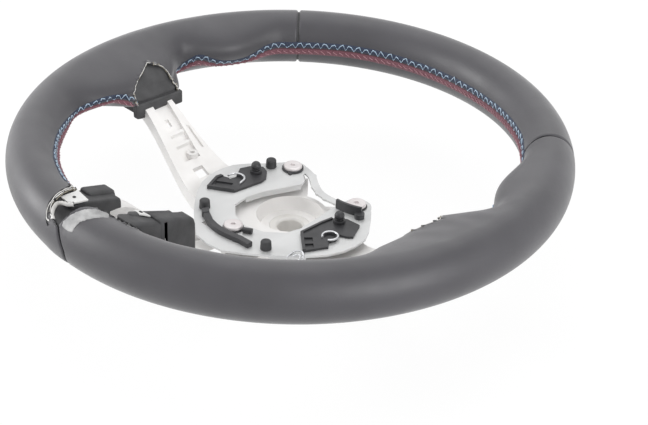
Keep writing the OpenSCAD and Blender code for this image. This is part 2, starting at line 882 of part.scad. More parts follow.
// Moulded bar round the lower guide bolt, with a small boss at each bend
carrier_w = 3.8;
carrier_h = 3;
module lower_carrier() {
    line = [[-29.5, -50.5], [-25, -54], [-16, -57.6], [-4, -58.9], [6, -57.4], [11, -56], [21.5, -55.8]];
    color("#1f1f22") {
        for (i = [0:len(line) - 2]) {
            d = line[i + 1] - line[i];
            translate([line[i][0], line[i][1], plate_h])
                rotate([0, 0, atan2(d[1], d[0])])
                    translate([0, -carrier_w / 2, 0])
                        cube([norm(d), carrier_w, carrier_h]);
        }
        for (i = [1:len(line) - 2])
            translate([line[i][0], line[i][1], plate_h])
                cylinder(r = carrier_w / 2 + 0.5, h = carrier_h + 0.5 * (i % 2));
    }
}

// Short peg that lies on its foot by the lower guide bolt
peg_r = 1.9;
module carrier_pin() {
    color("#1f1f22")
        translate([5.2, -47.6, plate_h])
            rotate([0, 0, 31]) {
                translate([0, 0, peg_r])
                    rotate([0, 90, 0])
                        cylinder(r = peg_r, h = 6.4);
                translate([0.8, -1.2, 0])
                    cube([4.6, 2.4, peg_r]);
            }
}

// Curved wall beside the right guide bolt, with a round peg at its outer end
clip_wall_r = 37;
clip_t = 1.8;
clip_h = 7;
module side_clip() {
    color("#1f1f22") {
        translate([24.7, 58.1, plate_h])
            rotate([0, 0, -91])
                rotate_extrude(angle = 30, $fn = 120)
                    translate([clip_wall_r, 0])
                        square([clip_t, clip_h]);
        translate([43.4, 22.6, plate_h])
            cylinder(r = 3.4, h = 3.6);
    }
}

// Small bent sheet clip on the lower right edge
module edge_clip() {
    color("#b9babd")
        translate([47, -41, plate_h])
            rotate([0, 0, 40]) {
                translate([-4, -2.5, 0])
                    cube([8, 5, 1]);
                translate([-4, -2.5, 0])
                    cube([8, 1, 4.5]);
            }
}

armature();
spline_insert();
rim_foam();
leather_top();
leather_left();
leather_right();
lining_flap();
trim_plate(0);  // trim_plate_left
trim_plate(1);  // trim_plate_right
horn_plate();
guide_bolt(0);  // guide_bolt_left
guide_bolt(1);  // guide_bolt_right
guide_bolt(2);  // guide_bolt_bottom
guide_bush(0);  // guide_bush_left
guide_bush(1);  // guide_bush_right
guide_bush(2);  // guide_bush_bottom
horn_spring(0);  // horn_spring_left
horn_spring(1);  // horn_spring_right
horn_spring(2);  // horn_spring_bottom
contact(0);  // contact_left
contact(1);  // contact_right
contact(2);  // contact_bottom
airbag_bracket_left();
airbag_bracket_right();
lock_wire(0, 18, 180, 5);  // lock_wire_left
lock_wire(1, -40, 285, 2);  // lock_wire_right
bumper(0);  // bumper_left
bumper(1);  // bumper_bottom_left
bumper(2);  // bumper_bottom_right
centring_pin(0);  // centring_pin_left
centring_pin(1);  // centring_pin_right
lower_carrier();
carrier_pin();
side_clip();
edge_clip();
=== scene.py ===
import math

import bmesh
import bpy
import numpy as np
from mathutils import Matrix, Vector, noise


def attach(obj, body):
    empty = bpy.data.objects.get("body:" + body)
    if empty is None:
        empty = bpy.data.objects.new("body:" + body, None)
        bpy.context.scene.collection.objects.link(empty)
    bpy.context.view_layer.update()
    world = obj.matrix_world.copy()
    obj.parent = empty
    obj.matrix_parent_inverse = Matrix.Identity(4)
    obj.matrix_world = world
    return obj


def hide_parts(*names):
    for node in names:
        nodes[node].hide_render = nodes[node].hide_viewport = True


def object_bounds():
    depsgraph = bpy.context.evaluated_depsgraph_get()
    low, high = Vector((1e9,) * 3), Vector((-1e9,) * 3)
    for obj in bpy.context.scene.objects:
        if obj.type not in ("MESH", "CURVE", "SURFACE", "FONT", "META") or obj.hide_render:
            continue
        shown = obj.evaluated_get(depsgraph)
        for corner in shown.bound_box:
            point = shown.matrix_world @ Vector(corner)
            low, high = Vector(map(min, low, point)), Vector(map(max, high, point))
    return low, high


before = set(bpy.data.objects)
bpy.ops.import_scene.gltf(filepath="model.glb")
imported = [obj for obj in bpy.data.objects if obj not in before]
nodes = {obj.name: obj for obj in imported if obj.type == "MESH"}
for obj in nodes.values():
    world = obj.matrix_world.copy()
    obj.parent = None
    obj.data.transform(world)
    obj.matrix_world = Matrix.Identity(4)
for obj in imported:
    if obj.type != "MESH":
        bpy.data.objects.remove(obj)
cad_box = [list(corner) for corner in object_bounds()]

MM = 0.001

# The grip, in millimetres, as in the part's source
RIM_R = 170.0
RIM_H = 75.0
GRIP_W = 34.4
GRIP_T = 39.2
THUMB_RISE = 11.0
FINGER_CUT = 6.0
ROOT_X = 129.0
COLLAR_RISE = 13.0
SEAM_GAP = 1.4
SEAM_LEFT = 45.0
SEAM_RIGHT = 47.0
SEAM_LOW = 1.8
LEATHER_T = 1.2
LEG_X = (-29.0, 21.0)
STUB_W = (18.0, 16.0)
PLATE_TOP = 31.5
# Length of one degree, along the rim and round the grip's section
MM_PER_DEGREE = math.radians(RIM_R)
SECTION_MM_PER_DEGREE = 0.32


# ---------------------------------------------------------------- materials

def add(tree, kind, inputs=None, **settings):
    """A node in a tree, with its sockets set or linked."""
    node = tree.nodes.new(kind)
    for key, value in settings.items():
        setattr(node, key, value)
    for key, value in (inputs or {}).items():
        if isinstance(value, bpy.types.NodeSocket):
            tree.links.new(value, node.inputs[key])
        else:
            node.inputs[key].default_value = value
    return node


def new_material(name, **sockets):
    material = bpy.data.materials.new(name)
    material.use_nodes = True
    tree = material.node_tree
    shader = tree.nodes["Principled BSDF"]
    for key, value in sockets.items():
        shader.inputs[key.replace("_", " ")].default_value = value
    place = add(tree, "ShaderNodeTexCoord").outputs["Object"]
    return material, tree, shader, place


def blend_by_noise(tree, place, scale, low, high, dark, light, detail=3.0):
    """Colour that wanders between two tones."""
    cloud = add(tree, "ShaderNodeTexNoise", {"Vector": place, "Scale": scale, "Detail": detail})
    ramp = add(tree, "ShaderNodeValToRGB", {"Fac": cloud.outputs["Fac"]})
    ramp.color_ramp.elements[0].position = low
    ramp.color_ramp.elements[0].color = (*dark, 1)
    ramp.color_ramp.elements[1].position = high
    ramp.color_ramp.elements[1].color = (*light, 1)
    return ramp.outputs["Color"]


def vary_roughness(tree, place, scale, low, high):
    """Roughness that wanders between two levels."""
    cloud = add(tree, "ShaderNodeTexNoise", {"Vector": place, "Scale": scale, "Detail": 2.0})
    return add(
        tree, "ShaderNodeMapRange",
        {"Value": cloud.outputs["Fac"], "From Min": 0.3, "From Max": 0.7, "To Min": low, "To Max": high},
    ).outputs["Result"]


def bump(tree, height, strength, distance, under=None):
    inputs = {"Height": height, "Strength": strength, "Distance": distance}
    if under is not None:
        inputs["Normal"] = under
    return add(tree, "ShaderNodeBump", inputs).outputs["Normal"]


def make_leather():
    material, tree, shader, place = new_material("grip_leather", Sheen_Weight=0.3, Sheen_Roughness=0.45)
    tone = blend_by_noise(tree, place, 22, 0.3, 0.75, (0.0505, 0.049, 0.0555), (0.0655, 0.0635, 0.072))
    grain = add(
        tree, "ShaderNodeTexVoronoi", {"Vector": place, "Scale": 1150.0}, feature="DISTANCE_TO_EDGE"
    )
    pores = add(tree, "ShaderNodeTexNoise", {"Vector": place, "Scale": 520.0, "Detail": 2.0})
    soft = bump(tree, pores.outputs["Fac"], 0.25, 0.0002)
    fine = bump(tree, grain.outputs["Distance"], 0.3, 0.00025, soft)
    tree.links.new(tone, shader.inputs["Base Color"])
    tree.links.new(vary_roughness(tree, place, 60, 0.4, 0.5), shader.inputs["Roughness"])
    tree.links.new(fine, shader.inputs["Normal"])
    return material


def make_foam():
    material, tree, shader, place = new_material("grip_foam")
    tone = blend_by_noise(tree, place, 90, 0.3, 0.7, (0.046, 0.046, 0.048), (0.072, 0.072, 0.075))
    pores = add(tree, "ShaderNodeTexNoise", {"Vector": place, "Scale": 900.0, "Detail": 3.0})
    tree.links.new(tone, shader.inputs["Base Color"])
    tree.links.new(vary_roughness(tree, place, 120, 0.5, 0.7), shader.inputs["Roughness"])
    tree.links.new(bump(tree, pores.outputs["Fac"], 0.35, 0.0003), shader.inputs["Normal"])
    return material


def make_cast_metal():
    material, tree, shader, place = new_material("cast_metal", Metallic=0.3)
    tone = blend_by_noise(tree, place, 40, 0.3, 0.75, (0.85, 0.835, 0.82), (0.93, 0.92, 0.91))
    skin = add(tree, "ShaderNodeTexNoise", {"Vector": place, "Scale": 420.0, "Detail": 4.0})
    tree.links.new(tone, shader.inputs["Base Color"])
    tree.links.new(vary_roughness(tree, place, 70, 0.48, 0.66), shader.inputs["Roughness"])
    tree.links.new(bump(tree, skin.outputs["Fac"], 0.35, 0.0003), shader.inputs["Normal"])
    return material


def make_metal(name, dark, light, rough, metallic=0.9, scale=60.0, streak=1.0):
    material, tree, shader, place = new_material(name, Metallic=metallic)
    stretched = add(tree, "ShaderNodeMapping", {"Vector": place, "Scale": (1.0, streak, 1.0)})
    vector = stretched.outputs["Vector"]
    tone = blend_by_noise(tree, vector, scale, 0.3, 0.7, dark, light)
    scratches = add(tree, "ShaderNodeTexNoise", {"Vector": vector, "Scale": scale * 12, "Detail": 3.0})
    tree.links.new(tone, shader.inputs["Base Color"])
    gloss = vary_roughness(tree, vector, scale * 2, rough * 0.8, rough * 1.25)
    tree.links.new(gloss, shader.inputs["Roughness"])
    tree.links.new(bump(tree, scratches.outputs["Fac"], 0.12, 0.0002), shader.inputs["Normal"])
    return material


def make_moulding(name, dark, light, rough, grain=700.0, depth=0.25):
    material, tree, shader, place = new_material(name)
    tone = blend_by_noise(tree, place, 110, 0.3, 0.7, dark, light)
    texture = add(tree, "ShaderNodeTexNoise", {"Vector": place, "Scale": grain, "Detail": 2.0})
    tree.links.new(tone, shader.inputs["Base Color"])
    tree.links.new(vary_roughness(tree, place, 150, rough * 0.85, rough * 1.15), shader.inputs["Roughness"])
    tree.links.new(bump(tree, texture.outputs["Fac"], depth, 0.0002), shader.inputs["Normal"])
    return material


def make_thread(name, dark, light):
    material, tree, shader, place = new_material(name, Sheen_Weight=0.25, Sheen_Roughness=0.4)
    twist = add(
        tree, "ShaderNodeTexWave", {"Vector": place, "Scale": 900.0, "Distortion": 2.0},
        bands_direction="DIAGONAL",
    )
    mix = add(tree, "ShaderNodeValToRGB", {"Fac": twist.outputs["Fac"]})
    mix.color_ramp.elements[0].color = (*dark, 1)
    mix.color_ramp.elements[1].color = (*light, 1)
    tree.links.new(mix.outputs["Color"], shader.inputs["Base Color"])
    tree.links.new(vary_roughness(tree, place, 800, 0.5, 0.7), shader.inputs["Roughness"])
    return material


leather = make_leather()
foam = make_foam()
# Darker copy of the grip foam for the wedge inside each arch: painted shade of the recess, not a different
# foam
painted_shade_foam = make_moulding("painted_shade_foam", (0.026, 0.026, 0.028), (0.044, 0.044, 0.046), 0.85)
cast_metal = make_cast_metal()
sheet_metal = make_metal(
    "zinc_sheet", (0.66, 0.665, 0.665), (0.76, 0.765, 0.765), 0.5, metallic=0.4, streak=0.3
)
insert_metal = make_metal("turned_steel", (0.78, 0.76, 0.73), (0.86, 0.85, 0.83), 0.5, metallic=0.2)
bolt_metal = make_metal("coated_bolt", (0.74, 0.69, 0.69), (0.83, 0.80, 0.80), 0.42, metallic=0.3)
wire_metal = make_metal(
    "bright_wire", (0.62, 0.63, 0.65), (0.8, 0.81, 0.83), 0.3, metallic=0.7, scale=120.0
)
spring_metal = make_metal("black_spring", (0.03, 0.03, 0.032), (0.06, 0.06, 0.063), 0.4, metallic=0.5)
brass_metal = make_metal("contact_brass", (0.50, 0.36, 0.17), (0.62, 0.48, 0.26), 0.35)
black_plastic = make_moulding("black_moulding", (0.034, 0.034, 0.037), (0.052, 0.052, 0.056), 0.42)
bumper_rubber = make_moulding("bumper_rubber", (0.032, 0.032, 0.034), (0.052, 0.052, 0.055), 0.55)
white_plastic = make_moulding("white_moulding", (0.74, 0.74, 0.73), (0.82, 0.82, 0.81), 0.5)
lining_cloth = make_moulding("grey_lining", (0.30, 0.30, 0.305), (0.56, 0.56, 0.56), 0.85, 900.0, 0.8)
# Pale fibre: the leather's pale back, with painted highlight of the curled torn edge in its lightness
pale_fibre_and_highlight = make_moulding("pale_fibre_and_highlight", (0.60, 0.59, 0.57), (0.92, 0.91, 0.89), 0.9, 1600.0, 0.7)
tan_fibre = make_moulding("tan_fibre", (0.22, 0.20, 0.15), (0.5, 0.46, 0.38), 0.9, 1600.0, 0.7)
# Very dark fibre: partly the torn leather's own dark layers, partly painted shade along the cut edge and
# between the curls
dark_fibre_and_shade = make_moulding("dark_fibre_and_shade", (0.02, 0.02, 0.022), (0.05, 0.05, 0.052), 0.9, 1200.0, 0.7)
blue_thread = make_thread("blue_thread", (0.20, 0.36, 0.56), (0.66, 0.76, 0.84))
# Navy of the ground under the blue stitches: a dark thread, with painted shade of the seam's crevice in its
# darkness
navy_thread_and_shade = make_thread("navy_thread_and_shade", (0.010, 0.018, 0.040), (0.026, 0.040, 0.080))
# Lighter, pinker copy of the maroon thread's red for the raised dashes: the red thread with painted
# highlight
red_thread_and_highlight = make_thread("red_thread_and_highlight", (0.30, 0.11, 0.14), (0.55, 0.32, 0.36))
maroon_thread = make_thread("maroon_thread", (0.12, 0.038, 0.054), (0.24, 0.095, 0.12))


# ---------------------------------------------------------------- mesh helpers

WHEEL_SOLIDS = (
    "armature", "spline_insert", "rim_foam", "lining_flap", "trim_plate_left", "trim_plate_right",
    "guide_bolt_left", "guide_bolt_right", "guide_bolt_bottom",
    "contact_left", "contact_right", "contact_bottom",
)


def new_object(name, points, faces, material, smooth=True, edges=()):
    """A mesh object from points in millimetres."""
    mesh = bpy.data.meshes.new(name)
    mesh.from_pydata([(x * MM, y * MM, z * MM) for x, y, z in points], list(edges), faces)
    mesh.update()
    if smooth and faces:
        mesh.shade_smooth()
    if material is not None:
        mesh.materials.append(material)
    piece = bpy.data.objects.new(name, mesh)
    bpy.context.scene.collection.objects.link(piece)
    return piece


def bevelled(piece, width, segments=3, angle=35.0):
    """Round the edges, with the flat faces kept flat in the shading."""
    modifier = piece.modifiers.new("edges", "BEVEL")
    modifier.width = width * MM
    modifier.segments = segments
    modifier.limit_method = "ANGLE"
    modifier.angle_limit = math.radians(angle)
    piece.data.shade_smooth()
    piece.modifiers.new("even", "WEIGHTED_NORMAL").keep_sharp = True
    bake_modifiers(piece)
    return piece


def bake_modifiers(piece):
    """The piece's evaluated mesh takes the place of its modifiers."""
    graph = bpy.context.evaluated_depsgraph_get()
    mesh = bpy.data.meshes.new_from_object(piece.evaluated_get(graph))
    piece.modifiers.clear()
    piece.data = mesh
    return piece


def finish_piece(piece, body, slot, *replaced):
    """A piece rides on a body and may stand for solids of the frame, which are hidden. The slot for its
    finish is not used.
    """
    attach(piece, body)
    if replaced:
        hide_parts(*replaced)


def softened(name, material, slot, width=0.35, segments=2):
    """Copy of a solid of the frame with its edges rounded, which takes the solid's place."""
    source = nodes[name]
    mesh = bmesh.new()
    mesh.from_mesh(source.data)
    mesh.transform(source.matrix_world)
    bmesh.ops.remove_doubles(mesh, verts=mesh.verts, dist=0.003 * MM)
    bmesh.ops.dissolve_limit(
        mesh, angle_limit=math.radians(1.0), verts=mesh.verts, edges=mesh.edges
    )
    data = bpy.data.meshes.new(name + "_finished")
    mesh.to_mesh(data)
    mesh.free()
    data.materials.clear()
    data.materials.append(material)
    piece = bpy.data.objects.new(name + "_finished", data)
    bpy.context.scene.collection.objects.link(piece)
    bevelled(piece, width, segments)
    body = "wheel" if name in WHEEL_SOLIDS else "horn_plate_assembly"
    finish_piece(piece, body, slot, name)
    return piece


def turn_faces_out(piece):
    """Normals of a closed piece made to look outwards."""
    mesh = bmesh.new()
    mesh.from_mesh(piece.data)
    bmesh.ops.recalc_face_normals(mesh, faces=mesh.faces)
    mesh.to_mesh(piece.data)
    mesh.free()


def add_wall(piece, thickness, offset=-1):
    """Thickness in millimetres for a sheet, inwards unless told otherwise."""
    wall = piece.modifiers.new("wall", "SOLIDIFY")
    wall.thickness = thickness * MM
    wall.offset = offset


def bake_wall(piece, thickness, offset=-1):
    add_wall(piece, thickness, offset)
    bake_modifiers(piece)
    piece.data.shade_smooth()


def quads(rows, columns, round_rows=False, round_columns=False):
    """Faces of a net of points, given row by row and closed into a ring where asked."""
    return [
        (
            i * columns + j, i * columns + (j + 1) % columns,
            (i + 1) % rows * columns + (j + 1) % columns, (i + 1) % rows * columns + j,
        )
        for i in range(rows if round_rows else rows - 1)
        for j in range(columns if round_columns else columns - 1)
    ]


def prism(name, outline, low, high, place, material):
    """Outline swept straight from low to high, put into space by a function."""
    n = len(outline)
    points = [place(u, v, low) for u, v in outline] + [place(u, v, high) for u, v in outline]
    faces = [tuple(range(n))[::-1], tuple(range(n, 2 * n))]
    faces += [(i, (i + 1) % n, n + (i + 1) % n, n + i) for i in range(n)]
    piece = new_object(name, points, faces, material, smooth=False)
    turn_faces_out(piece)
    return piece


def in_place(x, y, z):
    """Place of a point that is already given in the wheel's own axes."""
    return x, y, z


def at_rim(x, y, z):
    """Place of a point whose height is given from the middle of the grip."""
    return x, y, RIM_H + z


def tube_along(name, points, radius, material):
    """Round wire through a few points."""
    fine = smooth_path(points)
    wire = new_object(name, fine, [], None, edges=[(i, i + 1) for i in range(len(fine) - 1)])
    skin_edges(wire, radius, material)
    return wire


def smooth_path(points, steps=6):
    """Curve through the given points."""
    p = [np.array(q, float) for q in points]
    p = [2 * p[0] - p[1]] + p + [2 * p[-1] - p[-2]]
    out = []
    for a, b, c, d in zip(p, p[1:], p[2:], p[3:]):
        for t in np.arange(steps) / steps:
            out.append(0.5 * (2 * b + (c - a) * t + (2 * a - 5 * b + 4 * c - d) * t ** 2
                              + (3 * b - a - 3 * c + d) * t ** 3))
    out.append(p[-2])
    return out


def hull(name, points, material):
    """Convex solid over a few corners."""
    mesh = bmesh.new()
    for point in points:
        mesh.verts.new(Vector(point) * MM)
    result = bmesh.ops.convex_hull(mesh, input=mesh.verts)
    inside = [v for v in result["geom_interior"] if isinstance(v, bmesh.types.BMVert)]
    bmesh.ops.delete(mesh, geom=inside, context="VERTS")
    bmesh.ops.dissolve_limit(
        mesh, angle_limit=math.radians(0.5), verts=mesh.verts, edges=mesh.edges
    )
    bmesh.ops.recalc_face_normals(mesh, faces=mesh.faces)
    data = bpy.data.meshes.new(name)
    mesh.to_mesh(data)
    mesh.free()
    data.materials.append(material)
    piece = bpy.data.objects.new(name, data)
    bpy.context.scene.collection.objects.link(piece)
    return piece


# ---------------------------------------------------------------- the grip's surface

def ease(t):
    """Smooth step from 0 to 1."""
    c = np.clip(t, 0, 1)
    return c * c * (3 - 2 * c)


def bell(distance, width):
    """Smooth hump of height 1 that ends at the width."""
    return np.where(np.abs(distance) < width, (1 - (distance / width) ** 2) ** 2, 0.0)


def wrap(angle):
    """The same angle between -180 and 180."""
    return (angle + 540) % 360 - 180


def grip(a, s, lift=0.0):
    """Points of the leather's outer face: a runs clockwise from twelve o'clock, s round the section."""
    side = np.abs(wrap(a))
    reach = np.maximum(0, RIM_R - GRIP_W / 2 - ROOT_X / np.sin(np.radians(np.maximum(side, 30))))
    reach = reach * ease((side - 77) / 12) * (1 - ease((side - 111) / 14))
    thumb = THUMB_RISE * bell(side - 65, 16) * bell(wrap(s - 172), 75)
    root = reach * bell(wrap(s - 178), 80)
    cut = 0.7 * FINGER_CUT * bell(side - 114, 18) * bell(wrap(s - 228), 65)
    collar = COLLAR_RISE * ease((side - 80) / 5) * ease((109 - side) / 5.5) * bell(wrap(s - 214), 36)
    r = RIM_R + (GRIP_W / 2 + lift) * np.cos(np.radians(s)) - thumb - root - collar + cut
    z = (GRIP_T / 2 + lift) * np.sin(np.radians(s)) + cut
    return np.stack([r * np.sin(np.radians(a)), r * np.cos(np.radians(a)), RIM_H + z], -1)


# Places of the stitching round the rim, left half and right half: angle from twelve o'clock,
# and where the upper edge of the stitching lies round the section there
STITCH_TOP = [
    (0, 171), (-30, 169), (-47, 173), (-51, 172), (-54.5, 176), (-57, 186), (-60, 195),
    (-64.5, 198), (-68.5, 191), (-71.5, 180), (-73.5, 173), (-75.5, 180), (-79.5, 203),
    (-90, 208), (-100, 203), (-104, 186), (-108, 172), (-112.5, 166), (-118, 172), (-122, 174),
    (-129, 165), (-137, 156), (-144, 149), (-152, 137), (-164, 130),
]
STITCH_TOP_RIGHT = [
    (0, 171), (12, 170), (23, 166), (31, 162), (40, 158), (47, 163), (52, 172), (57, 186),
    (64, 198), (71, 182), (74, 175), (80, 203), (100, 203), (112, 192), (122, 185), (137, 170),
    (150, 150), (164, 140),
]
BLUE_BAND = 13.0


def seam_line(a):
    """Where the sewn seam runs round the section."""
    keys = sorted(STITCH_TOP[1:] + STITCH_TOP_RIGHT)
    at, top = zip(*keys)
    turn = wrap(a)
    return BLUE_BAND + sum(np.interp(turn + shift, at, top) for shift in (-1, 0, 1)) / 3


def low_seam_slant(s):
    """How far the lower seam leans over, in degrees along the rim."""
    lean = wrap(s - 15.0)
    return np.clip(0.06 * lean, -1.3, 1.3) * bell(lean, 110)


# ---------------------------------------------------------------- leather

def polygon_distance(points, u, v):
    """Signed distance to a closed outline, negative inside."""
    best = np.full(u.shape, 1e9)
    inside = np.zeros(u.shape, bool)
    for (x0, y0), (x1, y1) in zip(points, points[1:] + points[:1]):
        dx, dy = x1 - x0, y1 - y0
        t = np.clip(((u - x0) * dx + (v - y0) * dy) / (dx * dx + dy * dy), 0, 1)
        best = np.minimum(best, np.hypot(u - x0 - t * dx, v - y0 - t * dy))
        if y0 != y1:
            crosses = ((y0 > v) != (y1 > v)) & (u < x0 + (v - y0) * dx / dy)
            inside ^= crosses
    return np.where(inside, -best, best)


# Opening at a side spoke, seen along the spoke: y, and height over the grip's middle
ARCH = [
    (-24.5, -22.0), (-24.5, -12.5), (-29.5, -10.0), (-31.0, -5.0), (-30.2, 0.5), (-27.8, 4.4),
    (-23.4, 7.2), (-17.5, 9.2), (-12.0, 10.9), (-8.0, 12.0), (-4.8, 11.0), (-1.5, 9.9),
    (1.2, 8.7), (3.4, 3.1), (5.8, -3.6), (8.5, -9.0), (8.5, -22.0),
]
ARCH_DEPTH = 152.0
# Openings for the two legs: how far out they reach, and their lowest height
LEG_OPENING_Y = (-166.0, -160.0)
LEG_OPENING_LOW = 57.0
# Cut through the leather of the grip's front over the legs, in plan
FRONT_OPENING = [
    (-39.8, -130.0), (-39.8, -149.5), (-36.4, -151.6), (-32.2, -155.4), (-29.0, -160.0),
    (-27.0, -165.0), (-25.6, -170.0), (-24.8, -174.5), (-23.6, -178.2), (-20.8, -181.2),
    (-15.5, -183.3), (-8.5, -183.8),
    (-6.0, -178.0), (-5.0, -160.0), (30.5, -160.0), (30.5, -130.0),
]


def rounded_corner(distances, radius):
    """Distance to a box that is given by its faces, with rounded edges."""
    grown = [np.maximum(d + radius, 0) for d in distances]
    outside = np.sqrt(sum(g * g for g in grown)) - radius
    return np.maximum(outside, np.minimum(np.max(distances, axis=0), 0))


def opening_distance(points):
    """Distance from the nearest opening in the leather, negative inside it."""
    x, y, z = points[..., 0], points[..., 1], points[..., 2]
    across = np.abs(x)
    arch = np.maximum(polygon_distance(ARCH, y, z - RIM_H), across - ARCH_DEPTH)
    arch = np.where(across > 100, arch, 60.0)
    result = arch
    for middle, width, end in zip(LEG_X, STUB_W, LEG_OPENING_Y):
        side = np.abs(x - middle) - width / 2 - 1.5
        faces = [side, end - y, y + 130, LEG_OPENING_LOW - z, z - RIM_H - 4]
        result = np.minimum(result, rounded_corner(np.stack(faces), 3.0))
    front = np.maximum(polygon_distance(FRONT_OPENING, x, y), RIM_H - 10 - z)
    return np.minimum(result, np.where(y < -120, front, 60.0))


# Radius of the leather's rolled end at a seam, and how near a cut the points are drawn onto it
EDGE_ROLL = 1.7
SNAP_REACH = 0.8
# Degrees between rows of points along the rim, points round the section, and how closely
# these crowd towards the sewn seam
PANEL_STEP = 0.5
SECTION_STEPS = 112
SECTION_CROWD = 0.095


def panel_angles(start, end):
    """Rows of points along a panel, closer together at its two ends."""
    near = np.array([0, 0.03, 0.08, 0.16, 0.27, 0.4, 0.56])
    count = int(round((end - start - 1.4) / PANEL_STEP))
    return np.concatenate([start + near, np.linspace(start + 0.75, end - 0.75, count), end - near[::-1]])


def seam_relief(a, s):
    """Groove of the sewn seam, with the leather plumped up on both sides of it."""
    off = wrap(s - seam_line(a)) * SECTION_MM_PER_DEGREE
    return -0.9 * np.exp(-(off / 0.8) ** 2) + 0.4 * np.exp(-((np.abs(off) - 2.4) / 1.4) ** 2)


def creases(points, a, s):
    """Soft creases where the leather is pulled round the thumb rests and the spokes."""
    side = np.abs(wrap(a))
    near = bell(side - 88, 26) * bell(wrap(s - 140), 95)
    near = near + 0.5 * bell(side - 150, 26) * bell(wrap(s - 150), 80)
    wave = np.empty(a.shape)
    flat = points.reshape(-1, 3)
    out = wave.reshape(-1)
    for i, (x, y, z) in enumerate(flat):
        out[i] = noise.noise((x * 0.045, y * 0.075, z * 0.045))
    return near * wave * 1.1


def leather_panel(name, start, end):
    """Panel of leather between two seams, with the openings cut out of it."""
    angles = panel_angles(start, end)
    turn = np.arange(SECTION_STEPS) / SECTION_STEPS
    around = 360 * (turn - SECTION_CROWD * np.sin(2 * np.pi * turn))
    a, off = np.meshgrid(angles, around, indexing="ij")
    base = a.copy()
    s = seam_line(a) + off
    a = a + low_seam_slant(s) * (1 - ease(np.abs(a - 180 - SEAM_LOW) / 7))
    for _ in range(4):
        here = opening_distance(grip(a, s))
        by_a = (opening_distance(grip(a + 0.05, s)) - here) / 0.05
        by_s = (opening_distance(grip(a, s + 0.2)) - here) / 0.2
        size = by_a ** 2 + by_s ** 2 + 1e-6
        inner = (base > start + 0.8) & (base < end - 0.8)
        move = np.where((np.abs(here) < SNAP_REACH) & inner, here, 0)
        a = a - np.clip(move * by_a / size, -0.35, 0.35)
        s = s - np.clip(move * by_s / size, -1.6, 1.6)
    gap = opening_distance(grip(a, s))
    flat = grip(a, s)
    curl = 1.0 * np.exp(-np.maximum(gap, 0) / 2.0)
    to_end = np.maximum(np.minimum(base - start, end - base), 0) * MM_PER_DEGREE
    roll = np.clip(1 - to_end / EDGE_ROLL, 0, 1)
    lift = curl + seam_relief(a, s) + creases(flat, a, s) - EDGE_ROLL * (1 - np.sqrt(1 - roll ** 2)) * 0.7
    points = grip(a, s, lift).reshape(-1, 3)
    gaps = gap.reshape(-1)
    faces = [
        corners for corners in quads(*a.shape, round_columns=True)
        if min(gaps[c] for c in corners) > -0.12
    ]
    used = sorted({c for face in faces for c in face})
    new_index = {c: i for i, c in enumerate(used)}
    piece = new_object(
        name, [points[c] for c in used], [tuple(new_index[c] for c in face) for face in faces], leather
    )
    orient_outwards(piece)
    edge_points = [gaps[c] < 0.15 for c in used]
    raw_edge(name.replace("leather", "raw_edge"), piece, edge_points)
    add_wall(piece, LEATHER_T)
    return piece


def orient_outwards(piece):
    """Faces look away from the middle of the grip's section."""
    mesh = piece.data
    face = mesh.polygons[len(mesh.polygons) // 2]
    c = face.center
    flat = Vector((c.x, c.y, 0)).normalized() * RIM_R * MM
    middle = Vector((flat.x, flat.y, RIM_H * MM))
    if (c - middle).dot(face.normal) < 0:
        mesh.flip_normals()


# Strands along a cut: label, depth under the leather's face, radius, material and how far it wanders
STRANDS = (
    ("outer", 0.1, 0.28, pale_fibre_and_highlight, 0.5), ("inner", 0.85, 0.32, tan_fibre, 0.6),
)


def raw_edge(name, piece, is_edge):
    """Frayed strands along the cuts at the side spokes and the left leg."""
    mesh = bmesh.new()
    mesh.from_mesh(piece.data)
    mesh.verts.ensure_lookup_table()
    border = [
        e for e in mesh.edges
        if e.is_boundary and is_edge[e.verts[0].index] and is_edge[e.verts[1].index]
        and (abs(e.verts[0].co.x) > 100 * MM or e.verts[0].co.x < -20 * MM)
    ]
    for label, depth, radius, material, fray in STRANDS if border else ():
        index = {}
        points, edges = [], []
        for e in border:
            for v in e.verts:
                if v.index not in index:
                    index[v.index] = len(points)
                    seed = v.co * 420
                    wander = Vector([
                        noise.noise(seed + Vector((k * 31.0, depth * 9, 0))) for k in range(3)
                    ])
                    points.append((v.co - v.normal * depth * MM + wander * fray * MM) / MM)
            edges.append((index[e.verts[0].index], index[e.verts[1].index]))
        strand = new_object(name + "_" + label, points, [], None, edges=edges)
        skin_edges(strand, radius, material)
        finish_piece(strand, "wheel", "lining")
    mesh.free()


def skin_edges(piece, radius, material):
    """Round tube over the piece's edges, by geometry nodes."""
    tree = bpy.data.node_groups.new(piece.name + "_tube", "GeometryNodeTree")
    tree.interface.new_socket("Geometry", in_out="INPUT", socket_type="NodeSocketGeometry")
    size = tree.interface.new_socket("Tube radius", in_out="INPUT", socket_type="NodeSocketFloat")
    tree.interface.new_socket("Geometry", in_out="OUTPUT", socket_type="NodeSocketGeometry")
    start = add(tree, "NodeGroupInput")
    path = add(tree, "GeometryNodeMeshToCurve", {"Mesh": start.outputs["Geometry"]})
    ring = add(
        tree, "GeometryNodeCurvePrimitiveCircle", {"Resolution": 6, "Radius": start.outputs["Tube radius"]}
    )
    tube = add(
        tree, "GeometryNodeCurveToMesh",
        {"Curve": path.outputs["Curve"], "Profile Curve": ring.outputs["Curve"], "Fill Caps": True},
    )
    add(tree, "NodeGroupOutput", {"Geometry": tube.outputs["Mesh"]})
    modifier = piece.modifiers.new("tube", "NODES")
    modifier.node_group = tree
    modifier[size.identifier] = radius * MM
    bake_modifiers(piece)
    piece.data.shade_smooth()
    piece.data.materials.clear()
    piece.data.materials.append(material)


